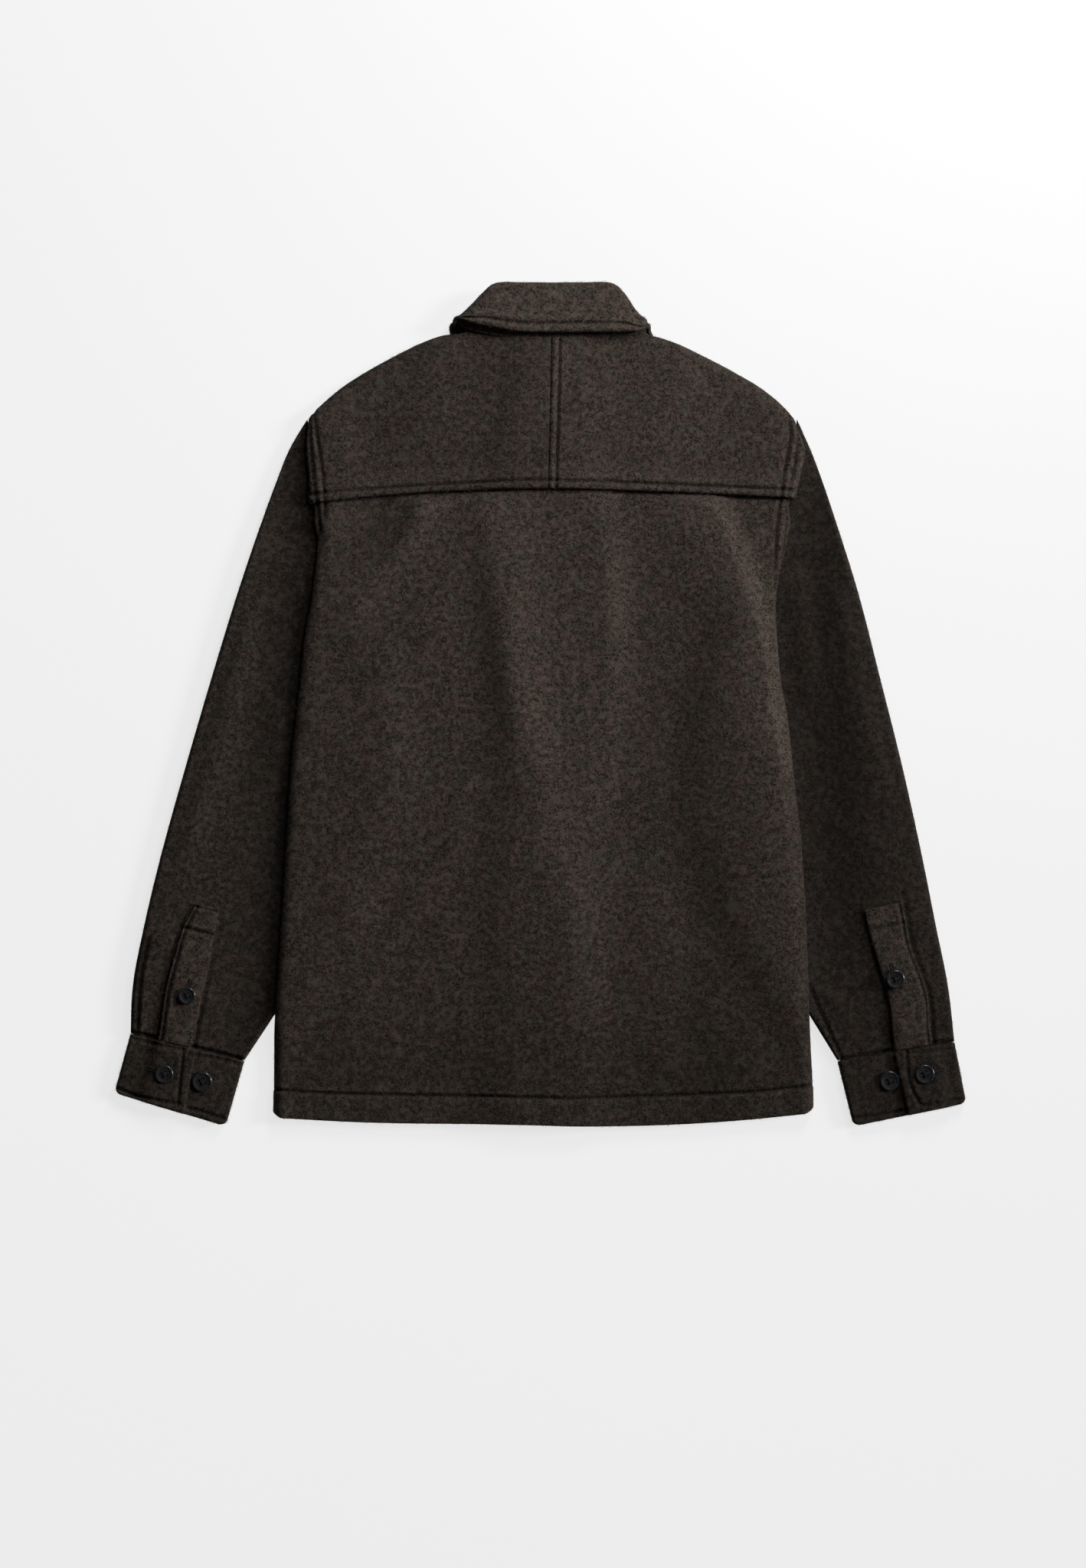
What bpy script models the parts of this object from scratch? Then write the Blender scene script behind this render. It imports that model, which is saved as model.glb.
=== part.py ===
"""A wool shacket, buttoned up and laid flat on its front, so that its back is up.

Lengths are in millimetres and become metres when a mesh is made. X runs to the right as seen
from above, Y runs from the hem to the collar, Z is up, and the garment lies on z = 0.
Every piece is a middle surface, worked out from the tables below, with half its cloth on each side.
"""
import bpy
import numpy as np

MM = 0.001

# Cloth
CLOTH = 2.2            # one layer of brushed wool
DOUBLED = 3.0          # cuffs, collar and placket, two layers pressed together
SEAM_GAP = 0.3         # between pieces that are sewn to each other
REST_GAP = 0.5         # between layers that only lie on each other

# Body
SIDE_ROLL = 5.0        # how far in the back rounds down at its sides
FRONT_INSET = 4.6      # the front lies inside the rolled side
ARMHOLE_GAP = 1.6      # between a front and its sleeve, where they meet edge to edge
FOLD_CLEAR = 3.0       # the fronts are up this far before they reach a sleeve's fold
HEM_BAND = 26.0        # turned-up hem
HEM_RAISE = 0.9
SEAM_LAP = 8.0         # how far the yoke lies over the back
LAP_TUCK = 3.6         # the back is this much narrower under the yoke
SLEEVE_THICK = 6.0     # a flat sleeve, both layers
SLEEVE_PUFF = 2.2      # how much higher it is where nothing lies on it
PLACKET_LIFT = 3.3     # the front placket lies on its buttons
PLACKET_LEFT = 25.0    # its edges, from the middle of the front
PLACKET_RIGHT = 17.0
WING_LIFT = 3.7        # the fronts lie on the collar's points near the neck

# The body's side edges: y, left x, right x
SIDES = (
    (-395, -247.3, 254.0), (-360, -246.9, 253.9), (-300, -246.2, 251.0), (-244, -242.6, 249.2),
    (-130, -235.6, 243.0), (-61, -231.4, 235.6), (-10, -226.3, 229.8), (21, -222.6, 224.2),
    (60, -219.0, 220.8), (94, -212.6, 219.4), (120, -209.0, 222.8), (154, -206.8, 231.0),
    (180, -213.0, 234.3), (209, -214.7, 241.5), (240, -216.8, 246.5), (265, -214.7, 236.0),
)
# The hem's lower edge: x, y
HEM = ((-255, -383.0), (-178, -387.3), (0, -390.3), (30, -391.2), (188, -385.9), (260, -378.5))
# The seam between the yoke and the back: x, y
YOKE_SEAM = ((-220, 186.0), (-166, 191.9), (-32, 199.6), (40, 199.7), (88, 198.3), (245, 191.0))
# Shoulders and back neck: x, y
TOP = (
    (-217, 263.0), (-201.1, 279.5), (-184.8, 293.7), (-163.4, 307.9), (-137.8, 322.2), (-108.6, 336.4),
    (-86, 343.6), (-66, 343.2), (-41, 341.0), (-2.5, 338.6), (28, 338.6), (66, 341.0), (92, 343.2),
    (104, 341.6), (123.5, 336.4), (155.6, 322.2), (182.6, 307.9), (206.1, 293.7), (223.2, 279.5), (240, 260.0),
)
# How far in the sleeves reach under the body, down the armholes and along the underarm folds: y, left x, right x
TUCKED = (
    (-330.5, -274.1, 276.6), (-289, -246.7, 251.0), (-250, -221, 227), (-208, -196, 203), (-160, -176, 184),
    (-110, -162, 171), (-60, -157, 166), (-15, -160, 169), (20, -167.5, 176.5), (37.4, -174, 183),
    (71.6, -186, 196), (114, -195, 209), (157, -199.7, 219), (192.6, -202.6, 227.5), (228, -206.8, 234.5),
    (265, -213.5, 238.5),
)
ARMPIT = 37.4
SHOULDER_TIP = 265.0
# The sleeves' outer folds: y, left x, right x
SLEEVE_OUTER = (
    (-313, -380.0, 385.2), (-261.7, -377.7, 379.1), (-204.7, -367.0, 367.7), (-147.7, -353.5, 356.4),
    (-62.3, -330.0, 337.8), (23.1, -305.1, 316.5), (108.6, -278.8, 294.4), (165.5, -259.5, 276.6),
    (208.3, -243.9, 262.4), (236.7, -232.5, 251.7), (251.0, -224.6, 245.3), (265.2, -215.5, 239.0),
)
# Soft folds down the back: x at the yoke, x at the hem, half width, height at the yoke, height at the hem
BACK_FOLDS = (
    (-170, -190, 34, 2.2, 0.6),
    (-30, -12, 30, 2.6, 1.4),
    (35, 30, 26, 2.0, 1.2),
    (95, 110, 20, 2.2, 0.6),
    (185, 225, 24, 2.6, 1.0),
)
# Half of the collar, from the back's middle round to the front's: across, along and up for the neck
# seam, the fold line and the outer edge of the fall
COLLAR = (
    (0, 338.5, 11.5, 0, 390.0, 10.5, 0, 350.5, 16.5),
    (26, 338.8, 11.5, 27, 390.2, 10.5, 32, 350.5, 16.5),
    (46, 340.5, 11.2, 47, 390.0, 10.5, 62, 349.5, 16.2),
    (60, 342.8, 10.8, 58, 382.5, 10.4, 75, 348.5, 15.6),
    (73, 345.6, 10.4, 71, 370.5, 10.3, 84, 348.6, 14.0),
    (83, 349.2, 9.8, 83, 359.5, 9.8, 92, 349.8, 11.0),
    (86, 351.0, 7.3, 88.5, 356.0, 7.3, 95.5, 350.0, 7.0),
    (83, 347.5, 4.9, 84, 356.5, 4.9, 96, 342.0, 2.15),
    (73, 327.0, 5.0, 76, 347.0, 5.0, 93, 318.0, 1.9),
    (55, 301.0, 5.0, 58, 329.0, 5.0, 76, 286.0, 1.85),
    (32, 277.0, 5.0, 34, 309.0, 5.0, 52, 258.0, 1.85),
    (14, 267.0, 5.0, 15, 300.0, 5.0, 28, 268.0, 1.85),
    (2, 264.0, 5.0, 2, 297.0, 5.0, 4, 286.0, 1.85),
)
COLLAR_MIDDLE = 13.0
# Cuffs: outer and inner corner at the top, outer and inner corner at the bottom, each x, y
CUFFS = {
    "left": ((-379.8, -305.6), (-274.1, -330.8), (-394.8, -360.5), (-291.5, -391.5)),
    "right": ((385.2, -313.4), (276.6, -331.1), (396.2, -370.0), (291.5, -391.5)),
}
CUFF_LAP_EDGE = {"left": (0.58, 0.625), "right": (0.52, 0.515)}   # free end of the cuff, as a share of its width
CUFF_LAP = 0.27        # how much of the width the ends overlap
# Sleeve plackets: y, outer edge x, inner edge x
SLEEVE_PLACKETS = {
    "left": ((-300, -350.5, -320.5), (-271, -346.4, -314.0), (-232, -336.5, -306.0), (-210, -330.0, -301.8),
             (-189, -319.5, -297.0)),
    "right": ((-305, 361.5, 328.0), (-271, 358.5, 324.0), (-228, 343.5, 311.5), (-205, 339.0, 305.0),
              (-180, 334.5, 299.5)),
}
PLACKET_SLANT = {"left": -0.24, "right": 0.2}
BUTTONS = {   # x, y, radius
    "left_cuff_button": (-347.8, -342.8, 8.6),
    "left_spare_button": (-312.9, -349.9, 9.4),
    "left_placket_button": (-326.5, -269.8, 8.0),
    "right_cuff_button": (357.1, -342.8, 9.0),
    "right_spare_button": (324.8, -349.2, 9.2),
    "right_placket_button": (329.3, -254.5, 8.6),
}
BUTTON_THICK = 3.0
FRONT_BUTTON = 9.5
FRONT_BUTTON_ROWS = (-330, -222, -114, -6, 102, 210)

BOX_MIDDLE = (0.7, 1.3, 0)   # middle of the garment's box in the tables' own x and y; it becomes the origin

WOOL = (0.042, 0.032, 0.026, 1)
BUTTON_GREY = (0.018, 0.019, 0.021, 1)


def follow(table, column, at):
    """A column's value at a place along the table's first column, on a smooth curve through its rows."""
    rows = np.array(table, float)
    xs, ys = rows[:, 0], rows[:, column]
    at = np.clip(np.asarray(at, float), xs[0], xs[-1])
    step = np.diff(xs)
    slope = np.diff(ys) / step
    tangent = np.empty_like(ys)
    tangent[0], tangent[-1] = slope[0], slope[-1]
    tangent[1:-1] = (slope[:-1] * step[1:] + slope[1:] * step[:-1]) / (step[1:] + step[:-1])
    i = np.clip(np.searchsorted(xs, at) - 1, 0, len(xs) - 2)
    h = step[i]
    t = (at - xs[i]) / h
    return (ys[i] * (1 + 2 * t) * (1 - t) ** 2 + tangent[i] * h * t * (1 - t) ** 2
            + ys[i + 1] * t * t * (3 - 2 * t) + tangent[i + 1] * h * t * t * (t - 1))


def ease(t):
    t = np.clip(t, 0, 1)
    return t * t * (3 - 2 * t)


def roll(distance):
    """Height of a rounded edge, from 0 at the edge to 1 where the roll ends."""
    t = np.clip(distance / SIDE_ROLL, 0, 1)
    return np.sqrt(1 - (1 - t) ** 2)


def middle(y):
    """The garment's middle line leans a little to the right towards the collar."""
    return 3.3 + (y + 390) * 0.0142


def sleeve_under(x, y, ramp):
    """1 where a sleeve lies under the body, fading to 0 over the ramp."""
    left = (follow(TUCKED, 1, y) + FOLD_CLEAR + ramp - x) / ramp
    right = (x - follow(TUCKED, 2, y) + FOLD_CLEAR + ramp) / ramp
    return ease(np.maximum(left, right)) * ease((300 - y) / 35)


def placket_under(x, y, ramp):
    off = np.maximum(-(x - middle(y)) - PLACKET_LEFT, x - middle(y) - PLACKET_RIGHT - 3)
    return ease(1 - off / ramp)


def wing_under(x, y, ramp):
    across = np.abs(x - COLLAR_MIDDLE)
    return ease(1 - (across - 109) / ramp) * ease(1 - (248 - y) / ramp)


def front_floor(x, y):
    """Underside of the fronts, over the sleeves, the placket and the collar's points."""
    sleeve = (SLEEVE_THICK + REST_GAP) * sleeve_under(x, y, 22) * ease((120 - y) / 42)
    placket = (PLACKET_LIFT + DOUBLED + REST_GAP) * placket_under(x, y, 28)
    wing = WING_LIFT * wing_under(x, y, 25)
    return np.maximum(np.maximum(sleeve, placket), wing)


def back_middle(x, y):
    """Middle of the back's cloth: over all that lies under it, with its soft folds."""
    sleeve = (SLEEVE_THICK + REST_GAP) * sleeve_under(x, y, 58)
    sleeve = sleeve - 2.0 * ease((y - 85) / 60) * sleeve_under(x, y, 30)
    placket = (PLACKET_LIFT + DOUBLED + REST_GAP) * placket_under(x, y, 60)
    wing = WING_LIFT * wing_under(x, y, 60)
    under = np.maximum(np.maximum(sleeve, placket), wing)
    height = under + CLOTH * 1.5 + REST_GAP + 0.5
    down = np.clip((200 - y) / 590, 0, 1)
    for x_yoke, x_hem, width, h_yoke, h_hem in BACK_FOLDS:
        place = x_yoke + (x_hem - x_yoke) * down
        fold = np.exp(-((x - place) / width) ** 2)
        height = height + fold * (h_yoke + (h_hem - h_yoke) * down) * ease((250 - y) / 60) * ease((y + 400) / 60)
    return height


def side_seat(y):
    """Where the back's rolled side ends: on the sleeve, or near the surface below and above it."""
    return 0.7 + (SLEEVE_THICK + 0.1) * ease((y + 325) / 33) * ease((292 - y) / 28)


def shell(name, mid, thick, colour, closed=False, raised=0.0):
    """A wall with half its thickness on each side of a grid of points, raised on its outer side if asked."""
    mid = np.asarray(mid, float)
    rows, cols = mid.shape[:2]
    if closed:
        along = np.roll(mid, -1, 1) - np.roll(mid, 1, 1)
    else:
        along = np.gradient(mid, axis=1)
    normal = np.cross(along, np.gradient(mid, axis=0))
    normal /= np.linalg.norm(normal, axis=2, keepdims=True)
    raised = np.broadcast_to(np.asarray(raised, float), (rows, cols))[..., None]
    skins = [mid + normal * (thick / 2 + raised), mid - normal * thick / 2]
    for skin in skins:
        skin[..., 2] = np.maximum(skin[..., 2], 0)   # nothing reaches below the surface it lies on
    return walled(name, skins[0], skins[1], colour, closed)


def walled(name, outer, inner, colour, closed=False):
    """The solid between an outer and an inner grid of points, open at the ends of a closed ring."""
    rows, cols = outer.shape[:2]
    points = np.concatenate([outer.reshape(-1, 3), inner.reshape(-1, 3)]) * MM
    layer = rows * cols
    faces = []
    for r in range(rows - 1):
        for c in range(cols if closed else cols - 1):
            a, b = r * cols + c, r * cols + (c + 1) % cols
            d, e = a + cols, b + cols
            faces.append((a, b, e, d))
            faces.append((a + layer, d + layer, e + layer, b + layer))
    rims = [[r0 * cols + c for c in range(cols)] for r0 in (0, rows - 1)]
    for first, rim in ((True, rims[0]), (False, rims[1])):
        pairs = list(zip(rim, rim[1:])) + ([(rim[-1], rim[0])] if closed else [])
        for a, b in pairs:
            faces.append((b, a, a + layer, b + layer) if first else (a, b, b + layer, a + layer))
    if not closed:
        for c, turn in ((0, False), (cols - 1, True)):
            edge = [r * cols + c for r in range(rows)]
            for a, b in zip(edge, edge[1:]):
                faces.append((b, a, a + layer, b + layer) if turn else (a, b, b + layer, a + layer))
    return solid(name, points, faces, colour)


def solid(name, points, faces, colour):
    mesh = bpy.data.meshes.new(name)
    mesh.from_pydata([tuple(p) for p in points - np.array(BOX_MIDDLE) * MM], [], faces)
    mesh.update()
    mesh.shade_smooth()
    mesh.set_sharp_from_angle(angle=0.7)
    thing = bpy.data.objects.new(name, mesh)
    bpy.context.collection.objects.link(thing)
    mesh.materials.append(finish(colour))
    return thing


def finish(colour):
    name = "brushed_wool" if colour == WOOL else "button_resin"
    if name in bpy.data.materials:
        return bpy.data.materials[name]
    made = bpy.data.materials.new(name)
    made.use_nodes = True
    shader = made.node_tree.nodes["Principled BSDF"]
    shader.inputs["Base Color"].default_value = colour
    shader.inputs["Roughness"].default_value = 0.95 if colour == WOOL else 0.4
    return made


EDGE_STEPS = np.array((0, 0.75, 2.2, 5.0, 13.0, 32.0))
INNER_SHARES = np.array((0.18, 0.34, 0.47, 0.54, 0.61, 0.73, 0.87, 1.0))   # closest where the neck begins


def half_columns(edge, centre):
    """Places from a side edge to the middle, close together on the roll."""
    sign = np.sign(centre - edge)
    first = edge + sign * EDGE_STEPS
    return np.concatenate([first, first[-1] + (centre - first[-1]) * INNER_SHARES])


HEM_ROWS = (0, 1.5, HEM_BAND - 1.5, HEM_BAND + 0.5, 44)
BODY_ROWS = 12
SEAM_ROWS = (-14, -3, SEAM_LAP)


def back_row(r, x):
    """Where a row of the back runs: along the hem, then between hem and yoke, then along the yoke's seam."""
    hem, seam = follow(HEM, 1, x), follow(YOKE_SEAM, 1, x)
    if r < len(HEM_ROWS):
        return hem + HEM_ROWS[r]
    if r < len(HEM_ROWS) + BODY_ROWS:
        t = (r - len(HEM_ROWS) + 1) / (BODY_ROWS + 1)
        return (1 - t) * (hem + HEM_ROWS[-1]) + t * (seam + SEAM_ROWS[0])
    return seam + SEAM_ROWS[r - len(HEM_ROWS) - BODY_ROWS]


def back_panel():
    grid = []
    raised = []
    for r in range(len(HEM_ROWS) + BODY_ROWS + len(SEAM_ROWS)):
        y_left, y_right = back_row(r, -230), back_row(r, 240)
        left = follow(SIDES, 1, y_left) + CLOTH / 2 + LAP_TUCK * ease((y_left - 166) / 14)
        right = follow(SIDES, 2, y_right) - CLOTH / 2 - LAP_TUCK * ease((y_right - 170) / 14)
        centre = middle((y_left + y_right) / 2)
        xs = np.concatenate([half_columns(left, centre), half_columns(right, centre)[::-1][1:]])
        ys = back_row(r, xs)
        distance = np.minimum(xs - left, right - xs)
        seat = side_seat(ys)
        zs = seat + (back_middle(xs, ys) - seat) * roll(distance)
        grid.append(np.stack([xs, ys, zs], 1))
        raised.append(np.full(len(xs), HEM_RAISE if 0 < r < 3 else 0.0) * (distance > 1))
    return shell("back_panel", grid, CLOTH, WOOL, raised=np.array(raised))


YOKE_ROWS = (0, 4, 9, 24)
YOKE_UPPER = 4
YOKE_TOP = EDGE_STEPS[:5]


def yoke_row(r, x):
    """Where a row of the yoke runs: along its seam, then between, then close together along its top."""
    bottom, top = follow(YOKE_SEAM, 1, x), follow(TOP, 1, x) - CLOTH / 2
    if r < len(YOKE_ROWS):
        return bottom + YOKE_ROWS[r]
    if r < len(YOKE_ROWS) + YOKE_UPPER:
        t = (r - len(YOKE_ROWS) + 1) / (YOKE_UPPER + 1)
        return (1 - t) * (bottom + YOKE_ROWS[-1]) + t * (top - YOKE_TOP[-1])
    return top - YOKE_TOP[len(YOKE_ROWS) + YOKE_UPPER + len(YOKE_TOP) - 1 - r]


def yoke(side):
    """Half of the yoke; the two meet at the middle seam, where the right one has a felled ridge."""
    seam_side = -1 if side == "left" else 1
    column = 1 if side == "left" else 2
    grid = []
    raised = []
    rows = len(YOKE_ROWS) + YOKE_UPPER + len(YOKE_TOP)
    for r in range(rows):
        y_edge = yoke_row(r, -216 if side == "left" else 238)
        edge = follow(SIDES, column, y_edge) - seam_side * CLOTH / 2
        centre = middle(yoke_row(r, COLLAR_MIDDLE)) + seam_side * SEAM_GAP / 2
        xs = half_columns(edge, centre)
        ys = yoke_row(r, xs)
        bottom = follow(YOKE_SEAM, 1, xs)
        top = follow(TOP, 1, xs) - CLOTH / 2
        side_gap = np.abs(xs - edge)
        neck = ease((np.abs(xs - COLLAR_MIDDLE) - 78) / 14)
        near_neck = ease((98 - np.abs(xs - COLLAR_MIDDLE)) / 8)
        seat = side_seat(ys) + (WING_LIFT + 0.2 + 4.4 * near_neck) * wing_under(xs, ys, 25) * (ys > 290)
        lap = (CLOTH + SEAM_GAP + 0.2) * ease((22 - (ys - bottom)) / 14)
        height = back_middle(xs, ys) + lap + 0.8 * ease((ys - 290) / 40) * ease(1 - np.abs(xs - COLLAR_MIDDLE) / 160)
        top_roll = 1 - neck * (1 - roll(top - ys))
        zs = seat + (height - seat) * roll(side_gap) * top_roll
        grid.append(np.stack([xs, ys, zs], 1))
        raised.append(np.where(ys - bottom < 9, 0.5, 0.0) * (side_gap > 3))
    grid, raised = np.array(grid), np.array(raised)
    if side == "right":
        grid, raised = grid[:, ::-1], raised[:, ::-1]
    return shell("yoke_" + side, grid, CLOTH, WOOL, raised=raised)


FRONT_ROWS = (0, 0.08, 0.16, 0.24, 0.32, 0.4, 0.48, 0.55, 0.61, 0.66, 0.70, 0.74, 0.80, 0.88, 0.95, 1.0)
FOLD_SHARES = (0, 0.33, 0.66, 1.0)


def front_columns(side, y):
    """Places across a front: close together where it comes down from the sleeve and goes up to the placket."""
    sign = -1 if side == "left" else 1
    column = 1 if side == "left" else 2
    outer = follow(SIDES, column, y) - sign * FRONT_INSET
    armhole = follow(TUCKED, column, y) - sign * ARMHOLE_GAP
    outer = outer + (armhole - outer) * ease((y - 32) / 14)
    fold = (outer - follow(TUCKED, column, y)) * sign + FOLD_CLEAR
    inward = [0.0]
    for k, share in enumerate(FOLD_SHARES):
        inward.append(max(3.0 * (k + 1), fold + 22 * share))
    xs = [outer - sign * d for d in inward]
    from_edge = (35, 26, 17, 7, 0) if side == "left" else (66, 57, 47, 36, 0)
    inner = middle(y) - (18.0 if side == "left" else PLACKET_RIGHT)
    ends = [inner + sign * d for d in from_edge]
    between = [xs[-1] + (ends[0] - xs[-1]) * t for t in (0.33, 0.66)]
    return np.array(xs + between + ends)


def front(side):
    """A front panel, from its side seam to the buttoned edge; its outer side is on the floor."""
    sign = -1 if side == "left" else 1
    neck_drop = tuple(sorted((row[0], row[1]) for row in COLLAR[6:]))
    grid = []
    for share in FRONT_ROWS:
        xs = front_columns(side, -385 + share * (252 + 385))
        for again in range(3):
            low = follow(HEM, 1, xs) + 0.6
            across = (xs - COLLAR_MIDDLE) * sign
            shoulder = follow(TOP, 1, xs) - FRONT_INSET
            neck = follow(neck_drop, 1, np.abs(xs - COLLAR_MIDDLE)) - 2.0
            high = np.where(across > 84.5, shoulder, np.minimum(shoulder, neck))
            ys = low + (high - low) * share
            xs = np.array([front_columns(side, y)[i] for i, y in enumerate(ys)])
        zs = front_floor(xs, ys) + CLOTH / 2
        grid.append(np.stack([xs, ys, zs], 1))
    grid = np.array(grid)
    if side == "right":
        grid = grid[:, ::-1]
    return shell("front_" + side, grid, CLOTH, WOOL)


def front_placket():
    grid = []
    for y in np.linspace(-386, 252, 12):
        xs = middle(y) + np.array((-PLACKET_LEFT, -8.0, 4.0, PLACKET_RIGHT))
        zs = np.full(4, PLACKET_LIFT + DOUBLED / 2)
        grid.append(np.stack([xs, np.full(4, y), zs], 1))
    return shell("front_placket", grid, DOUBLED, WOOL)


def sleeve_height(side, x, y):
    """Top of the sleeve: flat where the body lies on it, fuller beyond."""
    column = 1 if side == "left" else 2
    sign = -1 if side == "left" else 1
    beyond = (x - follow(SIDES, column, y)) * sign
    return SLEEVE_THICK + SLEEVE_PUFF * ease((beyond - 10) / 46) * ease((y + 330) / 40)


def sleeve_line(side, share, across):
    """Points of one station, from the outer fold (0) to the underarm fold (1)."""
    column = 1 if side == "left" else 2
    low = -305.1 if side == "left" else -312.9
    y_out = SHOULDER_TIP + (low - SHOULDER_TIP) * share
    y_in = ARMPIT + (-330.4 - ARMPIT) * share ** 1.25
    start = np.array((follow(SLEEVE_OUTER, column, y_out), y_out))
    end = np.array((follow(TUCKED, column, y_in), y_in))
    line = start + (end - start) * np.asarray(across)[:, None]
    armhole_y = SHOULDER_TIP + (ARMPIT - SHOULDER_TIP) * np.asarray(across)
    armhole = np.stack([follow(TUCKED, column, armhole_y), armhole_y], 1)
    bend = ease(1 - share / 0.25)
    return line + (armhole - (start_of_armhole(column) * (1 - np.asarray(across)[:, None])
                              + end_of_armhole(column) * np.asarray(across)[:, None])) * bend


def sleeve_tops(side, share, first, last, width):
    """Places across the sleeve's upper layer, one of them just outside the body's edge if that crosses it."""
    tries = np.linspace(first, last, 120)
    place = sleeve_line(side, share, tries / width)
    heights = sleeve_height(side, place[:, 0], place[:, 1])
    low = np.nonzero(heights < SLEEVE_THICK + 0.02)[0]
    crossing = tries[min(max(low[0] if len(low) else 80, 40), 80)]
    return np.concatenate([np.linspace(first, crossing, 5)[1:], np.linspace(crossing, last, 4)[1:-1]])


def start_of_armhole(column):
    return np.array((follow(TUCKED, column, SHOULDER_TIP), SHOULDER_TIP))


def end_of_armhole(column):
    return np.array((follow(TUCKED, column, ARMPIT), ARMPIT))


def sleeve_ring(side, share, inset):
    """One station of the flattened tube: round at both folds, flat below, at its outer skin or inset from it."""
    ends = sleeve_line(side, share, (0.0, 1.0))
    width = np.linalg.norm(ends[1] - ends[0])
    r_out, r_in = (float(sleeve_height(side, *end)) / 2 for end in ends)
    tops = sleeve_tops(side, share, r_out, width - r_in, width)
    place = sleeve_line(side, share, tops / width)
    lows = np.linspace(width - r_in, r_out, 7)[1:-1]
    out_arc = np.radians((-90, -135, -180, -225, -270))
    in_arc = np.radians((90, 45, 0, -45, -90))
    ring_d = np.concatenate([r_out + np.cos(out_arc) * (r_out - inset), tops,
                             width - r_in + np.cos(in_arc) * (r_in - inset), lows])
    ring_z = np.concatenate([r_out + np.sin(out_arc) * (r_out - inset),
                             sleeve_height(side, place[:, 0], place[:, 1]) - inset,
                             r_in + np.sin(in_arc) * (r_in - inset), np.full(len(lows), inset)])
    return np.column_stack([sleeve_line(side, share, ring_d / width), ring_z])


def sleeve(side):
    """A flattened tube, open at the armhole and at the cuff."""
    shares = np.linspace(0, 1, 15)
    turn = -1 if side == "left" else 1
    outer = np.array([sleeve_ring(side, share, 0.0) for share in shares])[:, ::turn]
    inner = np.array([sleeve_ring(side, share, CLOTH) for share in shares])[:, ::turn]
    return walled("sleeve_" + side, outer, inner, WOOL, closed=True)


def cuff_spot(side, across, down):
    """A place on the cuff: across from its outer to its inner edge, down from its seam to its lower edge."""
    top_out, top_in, low_out, low_in = (np.array(corner) for corner in CUFFS[side])
    across, down = np.asarray(across)[..., None], np.asarray(down)[..., None]
    return (top_out * (1 - across) + top_in * across) * (1 - down) + (low_out * (1 - across) + low_in * across) * down


def cuff_heights():
    """Middle heights of a cuff's bottom layer, under end and lapping end."""
    low = DOUBLED / 2
    under = low + DOUBLED + REST_GAP
    return low, under, under + DOUBLED + 0.4


def cuff(side):
    """A doubled strip, wound once round, its outer end lapping over its inner end."""
    low, under, over = cuff_heights()
    bend = (under - low) / 2
    grid = []
    for down in (0, 0.33, 0.66, 1):
        corner = cuff_spot(side, np.array((0.0, 1.0)), np.array((down, down)))
        width = np.linalg.norm(corner[1] - corner[0])
        lap_end = width * (CUFF_LAP_EDGE[side][0] * (1 - down) + CUFF_LAP_EDGE[side][1] * down)
        start = lap_end - CUFF_LAP * width
        edge = bend + DOUBLED / 2
        path = [(start, under), (start + 14, under), (lap_end, under), ((lap_end + width) / 2, under)]
        for angle in np.radians((90, 45, 0, -45, -90)):
            path.append((width - edge + bend * np.cos(angle), low + bend + bend * np.sin(angle)))
        path += [(width * 0.66, low), (width * 0.33, low)]
        for angle in np.radians((-90, -135, -180, -225, -270)):
            path.append((edge + bend * np.cos(angle), low + bend + bend * np.sin(angle)))
        path += [(start - 15, under), (start - 5, over), (start + 12, over), (lap_end, over)]
        path = np.array(path)
        spots = cuff_spot(side, path[:, 0] / width, np.full(len(path), down))
        grid.append(np.column_stack([spots, path[:, 1]]))
    grid = np.array(grid)
    if side == "right":
        grid = grid[:, ::-1]
    return shell("cuff_" + side, grid, DOUBLED, WOOL)


def sleeve_placket(side):
    """The strip over the sleeve's opening, square at its top."""
    rows = SLEEVE_PLACKETS[side]
    grid = []
    for y in (-300, -285, -268, -248, -228, -212, -209, -189):
        edges = follow(rows, 1, y), follow(rows, 2, y)
        xs = edges[0] + (edges[1] - edges[0]) * np.linspace(0, 1, 4)
        ys = y + (xs - xs.mean()) * PLACKET_SLANT[side]
        zs = sleeve_height(side, xs, ys) + SEAM_GAP + 0.1 + CLOTH / 2
        grid.append(np.stack([xs, ys, zs], 1))
    grid = np.array(grid)
    if side == "right":
        grid = grid[:, ::-1]
    return shell("sleeve_placket_" + side, grid, CLOTH, WOOL)


def collar_line(column, share):
    """A smooth curve round the whole collar, from the left front (-1) over the back (0) to the right front (1)."""
    rows = [(i / (len(COLLAR) - 1),) + row[column:column + 3] for i, row in enumerate(COLLAR)]
    whole = [(-t, -x, y, z) for t, x, y, z in rows[:0:-1]] + rows
    return np.stack([follow(whole, 1, share) + COLLAR_MIDDLE, follow(whole, 2, share), follow(whole, 3, share)], -1)


COLLAR_STATIONS = np.linspace(-1, 1, 45)
STAND_THICK = 2.6
STAND_SHORT = 1.2      # the stand's top is this far inside the fold


def collar_stand():
    neck = collar_line(0, COLLAR_STATIONS)
    fold = collar_line(3, COLLAR_STATIONS)
    length = np.linalg.norm(fold - neck, axis=1, keepdims=True)
    end = 1 - STAND_SHORT / length
    grid = [neck + (fold - neck) * end * t for t in (0.0, 0.33, 0.66, 1.0)]
    return shell("collar_stand", grid, STAND_THICK, WOOL)


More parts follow.
